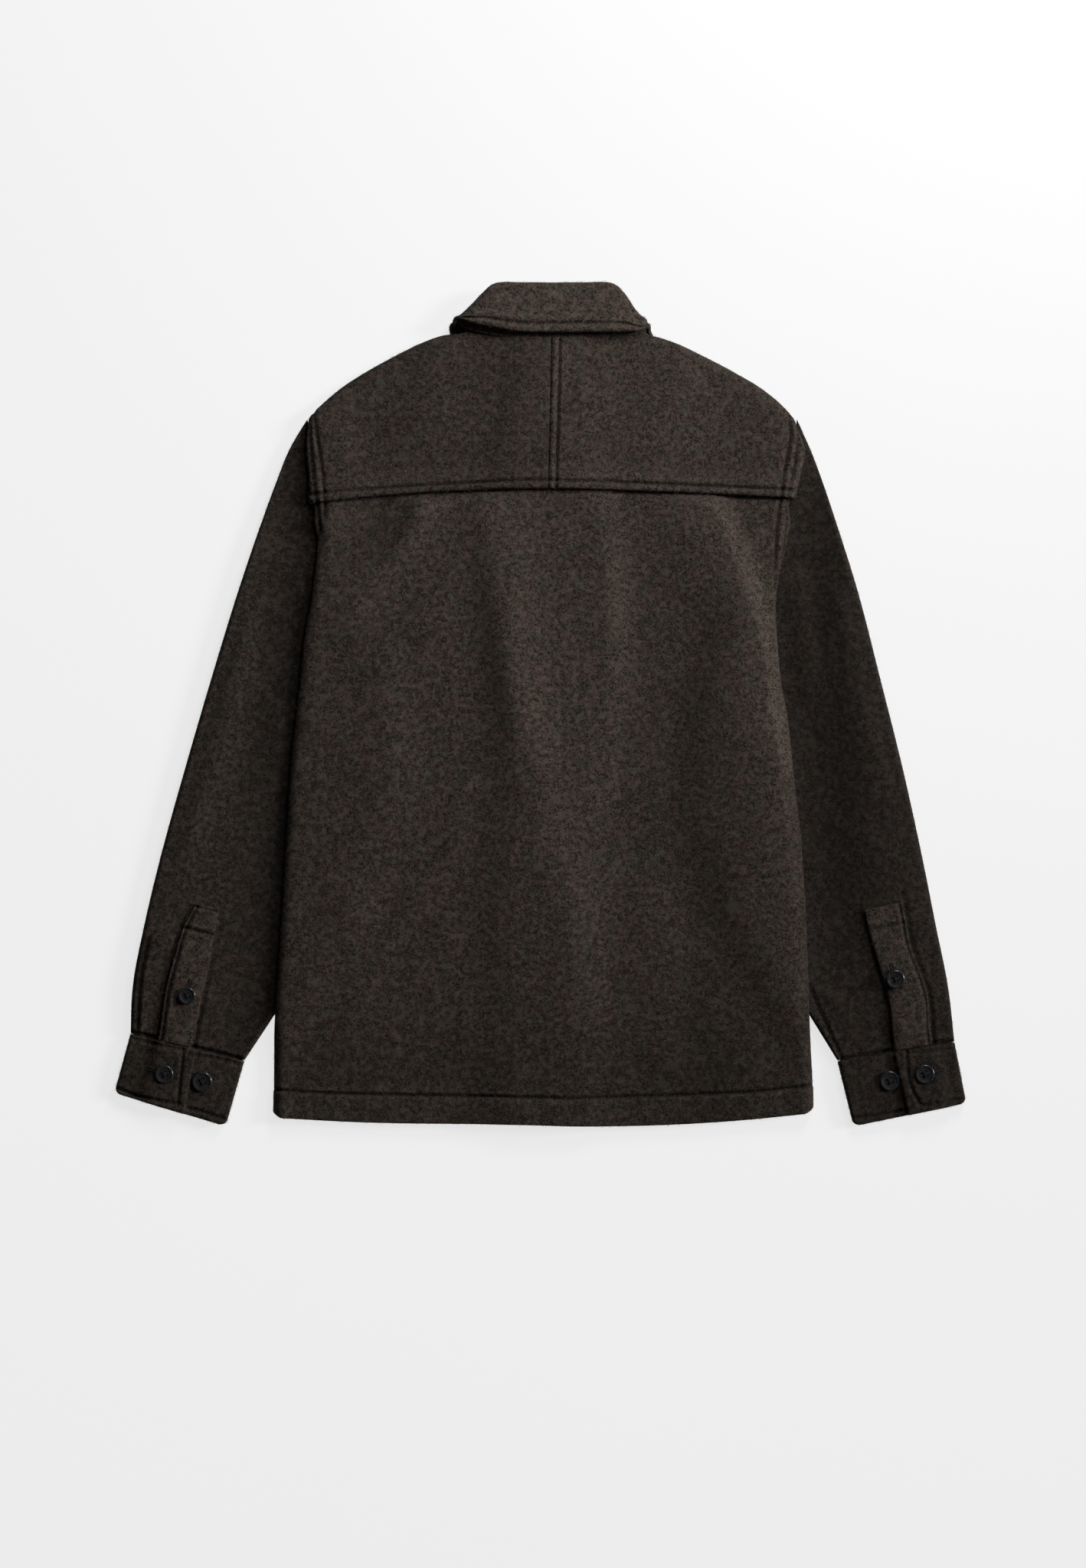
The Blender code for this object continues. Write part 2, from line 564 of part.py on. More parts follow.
def collar_fall():
    """The fall lies over the stand outside the fold line and hooks round the stand's top."""
    neck = collar_line(0, COLLAR_STATIONS)
    fold = collar_line(3, COLLAR_STATIONS)
    edge = collar_line(6, COLLAR_STATIONS)
    around = np.gradient(fold, axis=0)
    around /= np.linalg.norm(around, axis=1, keepdims=True)
    away = (fold - neck) / np.linalg.norm(fold - neck, axis=1, keepdims=True)
    away -= around * np.sum(away * around, axis=1, keepdims=True)
    away /= np.linalg.norm(away, axis=1, keepdims=True)
    out = np.cross(away, around)
    out /= np.linalg.norm(out, axis=1, keepdims=True)
    out *= np.where(out[len(out) // 2, 2] > 0, 1, -1)
    beside_neck = np.exp(-((np.abs(COLLAR_STATIONS) - 0.5) / 0.1) ** 2)[:, None]
    near = fold + out * (3.4 + 0.5 * beside_neck)
    grid = [fold + away * 2.1 + out * 0.2, fold + away * 1.8 + out * 1.9, near + away * 0.3]
    for t in (0.2, 0.45, 0.7, 1.0):
        grid.append(near + (edge - near) * t)
    return shell("collar_fall", grid[::-1], DOUBLED, WOOL)


def button(name, x, y, z, radius, facing=1):
    """A turned button: flat back, dished face and a raised rim."""
    profile = ((0.0, 0.35), (0.55, 0.35), (0.70, 0.42), (0.82, 1.0), (0.93, 1.0), (1.0, 0.7), (0.94, 0.0), (0.0, 0.0))
    turns = 20
    points = [(x, y, z + facing * profile[0][1] * BUTTON_THICK)]
    for share, height in profile[1:-1]:
        for k in range(turns):
            angle = 2 * np.pi * k / turns
            points.append((x + radius * share * np.cos(angle), y + radius * share * np.sin(angle),
                           z + facing * height * BUTTON_THICK))
    points.append((x, y, z))
    rings = len(profile) - 2
    faces = []
    for k in range(turns):
        n = (k + 1) % turns
        faces.append((0, 1 + k, 1 + n))
        for ring in range(rings - 1):
            a, b = 1 + ring * turns, 1 + (ring + 1) * turns
            faces.append((a + k, b + k, b + n, a + n))
        last = 1 + (rings - 1) * turns
        faces.append((last + k, len(points) - 1, last + n))
    if facing < 0:
        faces = [face[::-1] for face in faces]
    return solid(name, np.array(points) * MM, faces, BUTTON_GREY)


def sleeve_buttons():
    _, under, over = cuff_heights()
    for name, (x, y, radius) in BUTTONS.items():
        side = name.split("_")[0]
        if "placket" in name:
            z = float(sleeve_height(side, x, y)) + SEAM_GAP + CLOTH + 0.1
        else:
            z = (over if "cuff" in name else under) + DOUBLED / 2
        button(name, x, y, z + SEAM_GAP, radius)


def front_buttons():
    for i, y in enumerate(FRONT_BUTTON_ROWS):
        button("front_button_%d" % (i + 1), middle(y), y, BUTTON_THICK, FRONT_BUTTON, facing=-1)


def main():
    for thing in list(bpy.context.scene.objects):
        bpy.data.objects.remove(thing)
    back_panel()
    for side in ("left", "right"):
        yoke(side)
        front(side)
        sleeve(side)
        cuff(side)
        sleeve_placket(side)
    front_placket()
    collar_stand()
    collar_fall()
    sleeve_buttons()
    front_buttons()


main()
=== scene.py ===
"""The looks of a wool shacket that lies buttoned up on its front, with its back up.

Lengths are in millimetres and become metres when a mesh is made. X runs to the right as seen from
above, Y from the hem to the collar, Z up. Each cloth piece repeats the form of its solid from the
same sizes, with finer rows, and adds soft folds, seams, stitches and nap, with painted light and shade on
the nap.
"""
import math

import bpy
import numpy as np
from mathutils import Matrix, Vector
from mathutils.bvhtree import BVHTree

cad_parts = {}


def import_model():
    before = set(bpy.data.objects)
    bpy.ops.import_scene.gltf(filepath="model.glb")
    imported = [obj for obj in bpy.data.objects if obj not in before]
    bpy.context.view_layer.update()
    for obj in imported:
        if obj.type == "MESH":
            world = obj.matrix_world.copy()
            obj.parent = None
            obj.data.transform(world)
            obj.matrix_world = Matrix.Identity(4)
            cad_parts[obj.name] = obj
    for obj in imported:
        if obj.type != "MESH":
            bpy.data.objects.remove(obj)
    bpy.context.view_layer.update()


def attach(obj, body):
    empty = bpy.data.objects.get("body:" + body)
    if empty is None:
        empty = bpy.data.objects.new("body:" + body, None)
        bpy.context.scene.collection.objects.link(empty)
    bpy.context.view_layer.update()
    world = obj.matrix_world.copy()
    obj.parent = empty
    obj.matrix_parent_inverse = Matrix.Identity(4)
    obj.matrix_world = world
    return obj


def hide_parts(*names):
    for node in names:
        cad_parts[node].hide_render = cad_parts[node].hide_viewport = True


MM = 0.001
OUTWARD = {"left": -1, "right": 1}   # the way in x that leads out from the body
COLUMN = {"left": 1, "right": 2}     # a side's x in the tables of edges
BOX_MIDDLE = np.array((0.7, 1.3, 0.0))   # the tables' own x and y of the garment's origin

# Cloth
CLOTH = 2.2
DOUBLED = 3.0
REST_GAP = 0.5

# Body
SIDE_ROLL = 10.0
FRONT_INSET = 4.6
FRONT_LENGTH = 640      # from the hem to the front neck
ARMHOLE_GAP = 1.6
FOLD_CLEAR = 3.0
HEM_BAND = 26.0
SEAM_LAP = 8.0
LAP_TUCK = 3.6
SLEEVE_THICK = 6.0
SLEEVE_LENGTH = 590.0   # from the shoulder to the cuff's seam
SLEEVE_PUFF = {"left": 2.6, "right": 4.6}
PLACKET_LIFT = 3.3      # the front placket strip lies on its buttons
PLACKET_LEFT = 25.0
PLACKET_RIGHT = 17.0
WING_LIFT = 3.7         # the fronts rise by this over the collar's points
YOKE_STITCH = 7.2       # topstitch above the yoke's seam
ARMPIT = 37.4           # y of both armholes' lower ends
SHOULDER_TIP = 265.0    # y of their upper ends

# The body's side edges: y, left x, right x
SIDES = (
    (-395, -247.3, 254.0), (-360, -246.9, 253.9), (-300, -246.2, 251.0), (-244, -242.6, 249.2),
    (-130, -235.6, 243.0), (-61, -231.4, 235.6), (-10, -226.3, 229.8), (21, -222.6, 224.2),
    (60, -219.0, 220.8), (94, -212.6, 219.4), (120, -209.0, 222.8), (154, -206.8, 231.0),
    (180, -213.0, 234.3), (209, -214.7, 241.5), (240, -216.8, 246.5), (265, -214.7, 236.0),
)
# The hem's lower edge: x, y
HEM = ((-255, -383.0), (-178, -387.3), (0, -390.3), (30, -391.2), (188, -385.9), (260, -378.5))
# The seam between the yoke and the back: x, y
YOKE_SEAM = ((-220, 186.0), (-166, 191.9), (-32, 199.6), (40, 199.7), (88, 198.3), (245, 191.0))
# Shoulders and back neck: x, y
TOP = (
    (-217, 263.0), (-201.1, 279.5), (-184.8, 293.7), (-163.4, 307.9), (-137.8, 322.2), (-108.6, 336.4),
    (-86, 343.6), (-66, 343.2), (-41, 341.0), (-2.5, 338.6), (28, 338.6), (66, 341.0), (92, 344.2),
    (104, 342.8), (123.5, 336.9), (155.6, 322.2), (182.6, 307.9), (206.1, 293.7), (223.2, 279.5),
    (240, 260.0),
)
# The seam in the middle of the yoke: y, x
MIDDLE_SEAM = ((190, 8.0), (338, 11.0))
# How far in the sleeves reach under the body: y, left x, right x
TUCKED = (
    (-330.5, -274.1, 276.6), (-289, -246.7, 251.0), (-250, -221, 227), (-208, -196, 203), (-160, -176, 184),
    (-110, -162, 171), (-60, -157, 166), (-15, -160, 169), (20, -167.5, 176.5), (37.4, -174, 183),
    (71.6, -186, 196), (114, -195, 209), (157, -199.7, 219), (192.6, -202.6, 227.5), (228, -206.8, 234.5),
    (265, -213.5, 238.5),
)
# The sleeves' outer folds: y, left x, right x
SLEEVE_OUTER = (
    (-313, -380.0, 385.2), (-261.7, -377.7, 379.1), (-204.7, -367.0, 367.7), (-147.7, -353.5, 356.4),
    (-62.3, -330.0, 337.8), (23.1, -305.1, 316.5), (108.6, -278.8, 294.4), (165.5, -259.5, 276.6),
    (208.3, -243.9, 262.4), (236.7, -232.5, 251.7), (251.0, -224.6, 245.3), (265.2, -215.5, 239.0),
)
# Half of the collar, from the back's middle round to the front's: across, along and up for the neck
# seam, the fold line and the outer edge of the fall
COLLAR = (
    (0, 338.5, 11.5, 0, 387.6, 10.5, 0, 344.4, 16.5),
    (26, 338.8, 11.5, 29, 387.8, 10.5, 32, 344.4, 16.5),
    (46, 340.5, 11.2, 52, 387.4, 10.5, 62, 344.6, 16.2),
    (60, 342.8, 10.8, 63, 379.5, 10.4, 75, 345.6, 15.6),
    (73, 345.6, 10.4, 73, 369.0, 10.3, 84, 347.6, 14.0),
    (83, 349.2, 9.8, 83, 359.5, 9.8, 92, 349.8, 11.0),
    (86, 351.0, 7.3, 88.5, 356.0, 7.3, 95.5, 350.0, 7.0),
    (83, 347.5, 4.9, 84, 356.5, 4.9, 96, 342.0, 2.15),
    (73, 327.0, 5.0, 76, 347.0, 5.0, 93, 318.0, 1.9),
    (55, 301.0, 5.0, 58, 329.0, 5.0, 76, 286.0, 1.85),
    (32, 277.0, 5.0, 34, 309.0, 5.0, 52, 258.0, 1.85),
    (14, 267.0, 5.0, 15, 300.0, 5.0, 28, 268.0, 1.85),
    (2, 264.0, 5.0, 2, 297.0, 5.0, 4, 286.0, 1.85),
)
COLLAR_MIDDLE = 13.0
# Cuffs: outer and inner corner at the top, outer and inner corner at the bottom, each x, y
CUFFS = {
    "left": ((-379.8, -305.6), (-274.1, -330.8), (-394.8, -360.5), (-291.5, -391.5)),
    "right": ((385.2, -313.4), (276.6, -331.1), (396.2, -370.0), (291.5, -391.5)),
}
# How far across a cuff its lapping edge lies, at the top and at the bottom, as shares of its width
CUFF_LAP_EDGE = {"left": (0.58, 0.625), "right": (0.52, 0.515)}
CUFF_LAP = 0.27         # how much of the width the ends lie over each other
CUFF_WIDTH = 108
CUFF_HEIGHT = 58.0
CORNER_TURN = 7         # size of a cuff's rounded lower corners
# Sleeve plackets: y, outer edge x, inner edge x
SLEEVE_PLACKETS = {
    "left": ((-316, -353.5, -324.5), (-300, -350.5, -320.5), (-271, -346.4, -314.0),
             (-232, -336.5, -306.0), (-210, -330.0, -301.8), (-189, -319.5, -297.0)),
    "right": ((-320, 363.5, 330.5), (-305, 361.5, 328.0), (-271, 358.5, 324.0),
              (-228, 343.5, 311.5), (-205, 339.0, 305.0), (-180, 334.5, 299.5)),
}
# Slope of a sleeve placket's rows from left to right
PLACKET_SLANT = {"left": -0.24, "right": 0.2}
BUTTONS = {   # x, y, radius
    "left_cuff_button": (-347.8, -342.8, 8.6),
    "left_spare_button": (-312.9, -349.9, 9.4),
    "left_placket_button": (-326.5, -269.8, 8.0),
    "right_cuff_button": (357.1, -342.8, 9.0),
    "right_spare_button": (324.8, -349.2, 9.2),
    "right_placket_button": (329.3, -254.5, 8.6),
}
BUTTON_THICK = 3.0
FRONT_BUTTON = 9.5
FRONT_BUTTON_ROWS = (-330, -222, -114, -6, 102, 210)

# Folds of the cloth: half width to the left and to the right of the crest, height, then the x, y places
# that the crest runs through
BACK_FOLDS = (
    (70, 40, 3.4, (-52, 225), (-40, 150), (-30, 80), (-18, 0), (0, -100), (20, -220), (26, -330)),
    (20, 24, 3.3, (-56, 222), (-46, 150), (-36, 93), (-24, 20), (-6, -60), (10, -150), (24, -230)),
    (17, 15, 3.8, (54, 222), (62, 150), (67, 90), (66, 20), (56, -60), (36, -140)),
    (54, 12, 8.0, (142, 230), (166, 172), (182, 124), (196, 82), (206, 36), (213, -12), (222, -70),
     (230, -130)),
    (50, 16, 3.0, (232, -60), (234, -160), (238, -260), (240, -350)),
    (12, 15, 4.2, (-102, 206), (-126, 146), (-164, 96), (-206, 66)),
    (10, 12, 3.0, (-184, 210), (-196, 170), (-202, 130)),
    (12, 14, -2.0, (-138, 196), (-168, 150), (-192, 112)),
    (16, 16, -1.8, (-142, 50), (-176, 26), (-206, 14)),
    (16, 18, 1.6, (-150, 60), (-132, -40), (-124, -140)),
    (26, 20, 1.8, (24, -120), (34, -230), (30, -340)),
    (30, 20, 1.8, (96, -150), (116, -240), (122, -350)),
    (18, 22, 1.4, (-176, -150), (-168, -240), (-176, -340)),
    (16, 18, 1.2, (-92, -190), (-70, -270), (-60, -350)),
    (12, 12, 1.1, (-230, -10), (-190, -24), (-150, -20)),
    (12, 16, 1.0, (-60, -60), (-80, -110), (-84, -170)),
)
YOKE_FOLDS = (
    (24, 16, 2.4, (24, 342), (8, 300), (-30, 250), (-52, 206)),
    (18, 14, 1.5, (150, 312), (118, 270), (84, 205)),
    (14, 12, 1.4, (-206, 268), (-186, 240), (-164, 200)),
    (16, 12, 1.6, (232, 276), (200, 246), (168, 216)),
    (18, 16, 1.0, (-60, 345), (-96, 300), (-112, 230)),
)
SLEEVE_FOLDS = {
    "left": (
        (16, 14, 2.2, (-262, 90), (-296, -30), (-322, -130), (-340, -210)),
        (12, 14, 1.6, (-236, 10), (-262, -90), (-296, -190)),
        (9, 9, 1.2, (-372, -190), (-350, -215), (-328, -236)),
        (8, 8, 1.0, (-262, -262), (-290, -280), (-316, -292)),
    ),
    "right": (
        (15, 10, 2.4, (238, 130), (244, 76), (250, 30), (258, -30)),
        (22, 14, 2.2, (276, 120), (300, 0), (330, -120)),
        (10, 10, 1.2, (262, -110), (300, -122), (340, -128)),
        (8, 8, 1.2, (262, -262), (280, -285), (298, -305)),
    ),
}

WOOL_TONES_AND_SHADE = {   # painted light and shade: how much lighter or darker each piece's wool is made
    "back_panel": 1.0, "yoke_left": 0.87, "yoke_right": 1.02, "sleeve_left": 0.74, "sleeve_right": 0.52,
    "cuff": 0.58, "placket": 0.92, "collar": 1.2, "front": 0.95,
}

# Rows and columns of the larger meshes, between their finely spaced edges
BACK_ROWS = 178
BACK_COLUMNS = 182
YOKE_ROWS = 58
YOKE_COLUMNS = 74
FRONT_ROWS = 92
FRONT_COLUMNS = 62
SLEEVE_STATIONS = 112
SLEEVE_TOP_POINTS = 62
SLEEVE_UNDER_POINTS = 24

ROUND_EDGE = (0, 0.12, 0.45, 1.1, 2.0)   # steps in from a cut edge that is turned and rounded
FINE = 0.8                               # spacing of rows that a seam's groove crosses
GROOVE_DEPTH = 1.35                      # how far a tightly stitched line pulls the cloth down
GROOVE_WIDTH = 1.5


def follow(table, column, at):
    """A column's value at a place along the table's first column, on a smooth curve through its rows."""
    rows = np.array(table, float)
    xs, ys = rows[:, 0], rows[:, column]
    at = np.clip(np.asarray(at, float), xs[0], xs[-1])
    step = np.diff(xs)
    slope = np.diff(ys) / step
    tangent = np.empty_like(ys)
    tangent[0], tangent[-1] = slope[0], slope[-1]
    tangent[1:-1] = (slope[:-1] * step[1:] + slope[1:] * step[:-1]) / (step[1:] + step[:-1])
    i = np.clip(np.searchsorted(xs, at) - 1, 0, len(xs) - 2)
    h = step[i]
    t = (at - xs[i]) / h
    return (ys[i] * (1 + 2 * t) * (1 - t) ** 2 + tangent[i] * h * t * (1 - t) ** 2
            + ys[i + 1] * t * t * (3 - 2 * t) + tangent[i + 1] * h * t * t * (t - 1))


def ease(t):
    """A smooth turn from 0 to 1, level at both ends."""
    t = np.clip(t, 0, 1)
    return t * t * (3 - 2 * t)


def swell(off, width):
    """1 where off is 0, falling away softly on both sides of it."""
    return np.exp(-(off / width) ** 2)


def higher(a, b, blend=3.0):
    """The higher of two heights, with a soft turn from one to the other."""
    return (a + b + np.sqrt((a - b) ** 2 + blend * blend)) / 2


def roll(distance):
    """Height of a rounded edge, from 0 at the edge to 1 where the roll ends."""
    t = np.clip(distance / SIDE_ROLL, 0, 1)
    return np.sqrt(1 - (1 - t) ** 2)


def middle(y):
    """X of the line that the front closes on, which slants a little."""
    return 3.3 + (y + 390) * 0.0142


def spaced(first, last, head, tail, count):
    """Places from first to last: fixed steps in from both ends, and evenly spaced ones between."""
    sign = np.sign(last - first)
    near, far = np.array(head) * sign, np.array(tail) * sign
    between = np.linspace(first + near[-1], last - far[-1], count + 2)[1:-1]
    return np.concatenate([first + near, between, (last - far)[::-1]])


def rounded_then(*stretches):
    """The steps of a rounded edge, then those of each stretch: to, spacing."""
    steps = list(ROUND_EDGE)
    for end, spacing in stretches:
        while steps[-1] + spacing <= end:
            steps.append(steps[-1] + spacing)
    return tuple(steps)


def smooth_path(points, count=28):
    """Places along a smooth curve through a few points."""
    rows = [(i,) + tuple(p) for i, p in enumerate(points)]
    t = np.linspace(0, len(points) - 1, count)
    return np.stack([follow(rows, k, t) for k in range(1, len(rows[0]))], -1)


def near_path(x, y, path):
    """Distance of each place from a path, and how far along the path its nearest point is, in mm."""
    best = np.full(np.shape(x), 1e9)
    along = np.zeros(np.shape(x))
    reached = 0.0
    for a, b in zip(path[:-1], path[1:]):
        step = b - a
        length = float(np.hypot(*step))
        t = np.clip(((x - a[0]) * step[0] + (y - a[1]) * step[1]) / length ** 2, 0, 1)
        d = np.hypot(x - a[0] - t * step[0], y - a[1] - t * step[1])
        closer = d < best
        best = np.where(closer, d, best)
        along = np.where(closer, reached + t * length, along)
        reached += length
    return best, along, reached


def fold_height(x, y, folds):
    """Soft ridges and troughs, each fading out at its ends and uneven along its length."""
    total = np.zeros(np.shape(x))
    for i, (width_left, width_right, height, *places) in enumerate(folds):
        path = smooth_path(places)
        d, along, length = near_path(x, y, path)
        share = along / length
        crest = np.interp(y, path[::-1, 1], path[::-1, 0])
        width = width_left + (width_right - width_left) * ease((x - crest) / 6 + 0.5)
        fade = ease(share / 0.12) * ease((1 - share) / 0.4)
        uneven = 1 + 0.22 * np.sin(along / 31 + i * 1.7)
        total += height * fade * uneven * swell(d, width * (0.9 + 0.2 * share))
    return total


def sewn_height(x, y, lines):
    """A stitched line pulls the cloth down in a narrow groove and puckers it a little on both sides."""
    total = np.zeros(np.shape(x))
    for i, (depth, pucker, places) in enumerate(lines):
        d, along, _ = near_path(x, y, smooth_path(places))
        total -= GROOVE_DEPTH * depth * swell(d, GROOVE_WIDTH)
        wave = np.sin(along * 0.93 + i * 2.1 + 1.3 * np.sin(along * 0.21 + i))
        total += pucker * wave * swell(d - 2.6, 2.6)
        total += 0.42 * depth * swell(d - 3.8, 2.3)
    return total


def sleeve_under(x, y, ramp):
    """1 over a tucked-in sleeve, falling to 0 over a ramp beside it."""
    left = (follow(TUCKED, 1, y) + FOLD_CLEAR + ramp - x) / ramp
    right = (x - follow(TUCKED, 2, y) + FOLD_CLEAR + ramp) / ramp
    return ease(np.maximum(left, right)) * ease((300 - y) / 35)


def placket_under(x, y, ramp):
    """1 over the front placket, falling to 0 over a ramp beside it."""
    off = np.maximum(-(x - middle(y)) - PLACKET_LEFT, x - middle(y) - PLACKET_RIGHT - 3)
    return ease(1 - off / ramp)


def wing_under(x, y, ramp):
    """1 over the collar's points, falling to 0 over a ramp beside them."""
    across = np.abs(x - COLLAR_MIDDLE)
    return ease(1 - (across - 109) / ramp) * ease(1 - (248 - y) / ramp)


def front_floor(x, y):
    """Underside of the fronts, over the sleeves, the placket and the collar's points."""
    sleeve = (SLEEVE_THICK + REST_GAP) * sleeve_under(x, y, 22) * ease((120 - y) / 42)
    placket = (PLACKET_LIFT + DOUBLED + REST_GAP) * placket_under(x, y, 28)
    wing = WING_LIFT * wing_under(x, y, 25)
    return np.maximum(np.maximum(sleeve, placket), wing)


def back_middle(x, y):
    """Middle of the back's cloth, over all that lies under it."""
    sleeve = (SLEEVE_THICK + REST_GAP) * sleeve_under(x, y, 58)
    sleeve = sleeve - 2.0 * ease((y - 85) / 60) * sleeve_under(x, y, 30)
    placket = (PLACKET_LIFT + DOUBLED + REST_GAP) * placket_under(x, y, 60)
    wing = WING_LIFT * wing_under(x, y, 60)
    return higher(higher(sleeve, placket), wing) + CLOTH * 1.5 + REST_GAP


def side_seat(y):
    """Where the back's rolled side ends: on the sleeve, or near the surface below and above it."""
    return 0.7 + (SLEEVE_THICK + 0.1) * ease((y + 325) / 33) * ease((292 - y) / 28)


def rounding(mid, closed, radius):
    """How much of its thickness the cloth has: all of it inside, and a round turn at its edges."""
    def from_ends(axis):
        step = np.linalg.norm(np.diff(mid, axis=axis), axis=2)
        begin = np.cumsum(np.insert(step, 0, 0, axis=axis), axis=axis)
        return np.minimum(begin, np.take(begin, [-1], axis=axis) - begin)
    distance = from_ends(0) if closed else np.minimum(from_ends(0), from_ends(1))
    t = np.clip(distance / radius, 0, 1)
    return np.maximum(np.sqrt(1 - (1 - t) ** 2), 0.1)


def skins(mid, thick, closed=False, detail=0.0):
    """The outer and the inner skin of a cloth's middle grid, its detail raised on the outer one."""
    mid = np.asarray(mid, float)
    if closed:
        along = np.roll(mid, -1, 1) - np.roll(mid, 1, 1)
    else:
        along = np.gradient(mid, axis=1)
    normal = np.cross(along, np.gradient(mid, axis=0))
    normal /= np.linalg.norm(normal, axis=2, keepdims=True) + 1e-12
    full = rounding(mid, closed, thick / 2)[..., None]
    detail = np.broadcast_to(np.asarray(detail, float), mid.shape[:2])[..., None]
    outer = mid + normal * (thick / 2 + detail) * full
    inner = mid - normal * thick / 2 * full
    for skin in (outer, inner):
        skin[..., 2] = np.maximum(skin[..., 2], 0.02)
    return outer, inner


def walled(name, outer, inner, closed=False, relief_shade=None):
    """A closed mesh between two grids of points. Relief shade holds the painted shade and highlight of the
    nap at each outer point.
    """
    rows, cols = outer.shape[:2]
    layer = rows * cols
    index = np.arange(layer).reshape(rows, cols)
    across = np.roll(index, -1, 1) if closed else index[:, 1:]
    first = index if closed else index[:, :-1]
    quads = np.stack([first[:-1], across[:-1], across[1:], first[1:]], -1).reshape(-1, 4)
    faces = [quads, quads[:, ::-1] + layer]
    for row, turn in ((0, False), (rows - 1, True)):
        a = first[row]
        b = across[row]
        rim = np.stack([b, a, a + layer, b + layer], -1)
        faces.append(rim[:, ::-1] if turn else rim)
    if not closed:
        for col, turn in ((0, True), (cols - 1, False)):
            a = index[:-1, col]
            b = index[1:, col]
            rim = np.stack([b, a, a + layer, b + layer], -1)
            faces.append(rim[:, ::-1] if turn else rim)
    points = np.concatenate([outer.reshape(-1, 3), inner.reshape(-1, 3)])
    thing = mesh_piece(name, points, np.concatenate(faces))
    shade_values = np.zeros(2 * layer, np.float32)
    if relief_shade is not None:
        shade_values[:layer] = np.asarray(relief_shade).reshape(-1)
    thing.data.attributes.new("relief_shade", "FLOAT", "POINT").data.foreach_set("value", shade_values)
    return thing


def in_scene(name, data):
    """A new thing in the scene, made of a mesh, a lamp or a camera."""
    thing = bpy.data.objects.new(name, data)
    bpy.context.scene.collection.objects.link(thing)
    return thing


def mesh_piece(name, points, faces):
    """A smooth mesh in the row frame, from points in the tables' millimetres."""
    mesh = bpy.data.meshes.new(name)
    points = (np.asarray(points, float) - BOX_MIDDLE) * MM
    mesh.from_pydata(points.tolist(), [], np.asarray(faces).tolist())
    mesh.update()
    mesh.shade_smooth()
    return in_scene(name, mesh)


def dress(thing, material, slot, *nodes):
    """Gives a finished piece its material and its body, and hides the solids that it stands for."""
    thing.data.materials.append(material)
    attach(thing, "root")
    if nodes:
        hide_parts(*nodes)
    return thing


def cloth_piece(name, grid, thick, material, folds=0.0, sewn=0.0, nap_and_shade=0.0, closed=False):
    """A sheet of cloth on a middle grid, with the sewn detail raised on its outer skin, and painted shade
    and highlight on its nap from its folds, seams and given shade.
    """
    outer, inner = skins(grid, thick, closed, sewn)
    # painted shade and highlight: the nap darker where folds and seams sink, lighter where they rise, plus
    # the given painted shade
    relief_shade = np.zeros(outer.shape[:2]) + 0.3 * folds + 1.3 * sewn + nap_and_shade
    thing = walled(name, outer, inner, closed, relief_shade)
    dress(thing, material, "wool", name.replace("_cloth", ""))
    return thing


# The back

HEM_LINE = [(x, y + HEM_BAND) for x, y in ((-246, -383.5), (-178, -387.3), (0, -390.3), (30, -391.2),
                                           (188, -385.9), (252, -379.5))]
ARMHOLE_LEFT = ((-213.5, 272), (-212.0, 240), (-209.0, 209), (-205.5, 184), (-203.2, 160))
ARMHOLE_LEFT_INNER = ((-209.3, 272), (-206.5, 248), (-202.5, 222), (-199.8, 198), (-199.0, 174))
ARMHOLE_RIGHT = ((238.5, 262), (239.6, 247), (235.0, 217), (229.8, 190), (228.9, 170),
                 (225.3, 136), (218, 108))
ARMHOLE_RIGHT_INNER = ((231.0, 266), (232.5, 249.6), (228.2, 224), (225.0, 202.7), (219.3, 157.7),
                       (218.4, 126.4), (217.4, 108))

# path of the painted highlight on the ridge by the right armhole
RIGHT_RIDGE = ((190, 178), (207, 90), (222, 20), (229, -60))


def body_lines(piece):
    """Stitched lines of a back piece: depth, pucker, places."""
    armholes = [(0.8, 0.12, ARMHOLE_LEFT), (0.7, 0.1, ARMHOLE_LEFT_INNER),
                (0.8, 0.12, ARMHOLE_RIGHT), (0.8, 0.12, ARMHOLE_RIGHT_INNER)]
    if piece == "back_panel":
        return [(1.1, 0.16, HEM_LINE)] + armholes
    yoke_stitch = [(x, y + YOKE_STITCH) for x, y in YOKE_SEAM]
    middle_stitch = [(8.0 + 6.8, 190), (11.0 + 7.6, 338)]
    lines = [(0.95, 0.2, yoke_stitch)] + armholes
    if piece == "yoke_right":
        lines.append((0.9, 0.12, middle_stitch))
    return lines


def back_painted_shade(x, y):
    """Painted shade that darkens the back towards the hem, at its left and in a band on its right, and a
    painted highlight on the ridge by the armhole.
    """
    # painted shade: darker towards the hem, at the left and in a band on the right
    nap_and_shade = -1.0 * ease((90 - y) / 480) - 1.1 * ease((-240 - y) / 140)
    nap_and_shade = nap_and_shade - 0.9 * ease((-x - 70) / 90) * ease((y + 300) / 300)
    nap_and_shade = nap_and_shade - 1.2 * swell(x - 160, 46) * ease((190 - y) / 130)
    # painted highlight along the ridge by the right armhole
    distance, along, length = near_path(x, y, smooth_path(RIGHT_RIDGE))
    return nap_and_shade + 2.6 * swell(distance, 9) * ease((along / length) * 4)


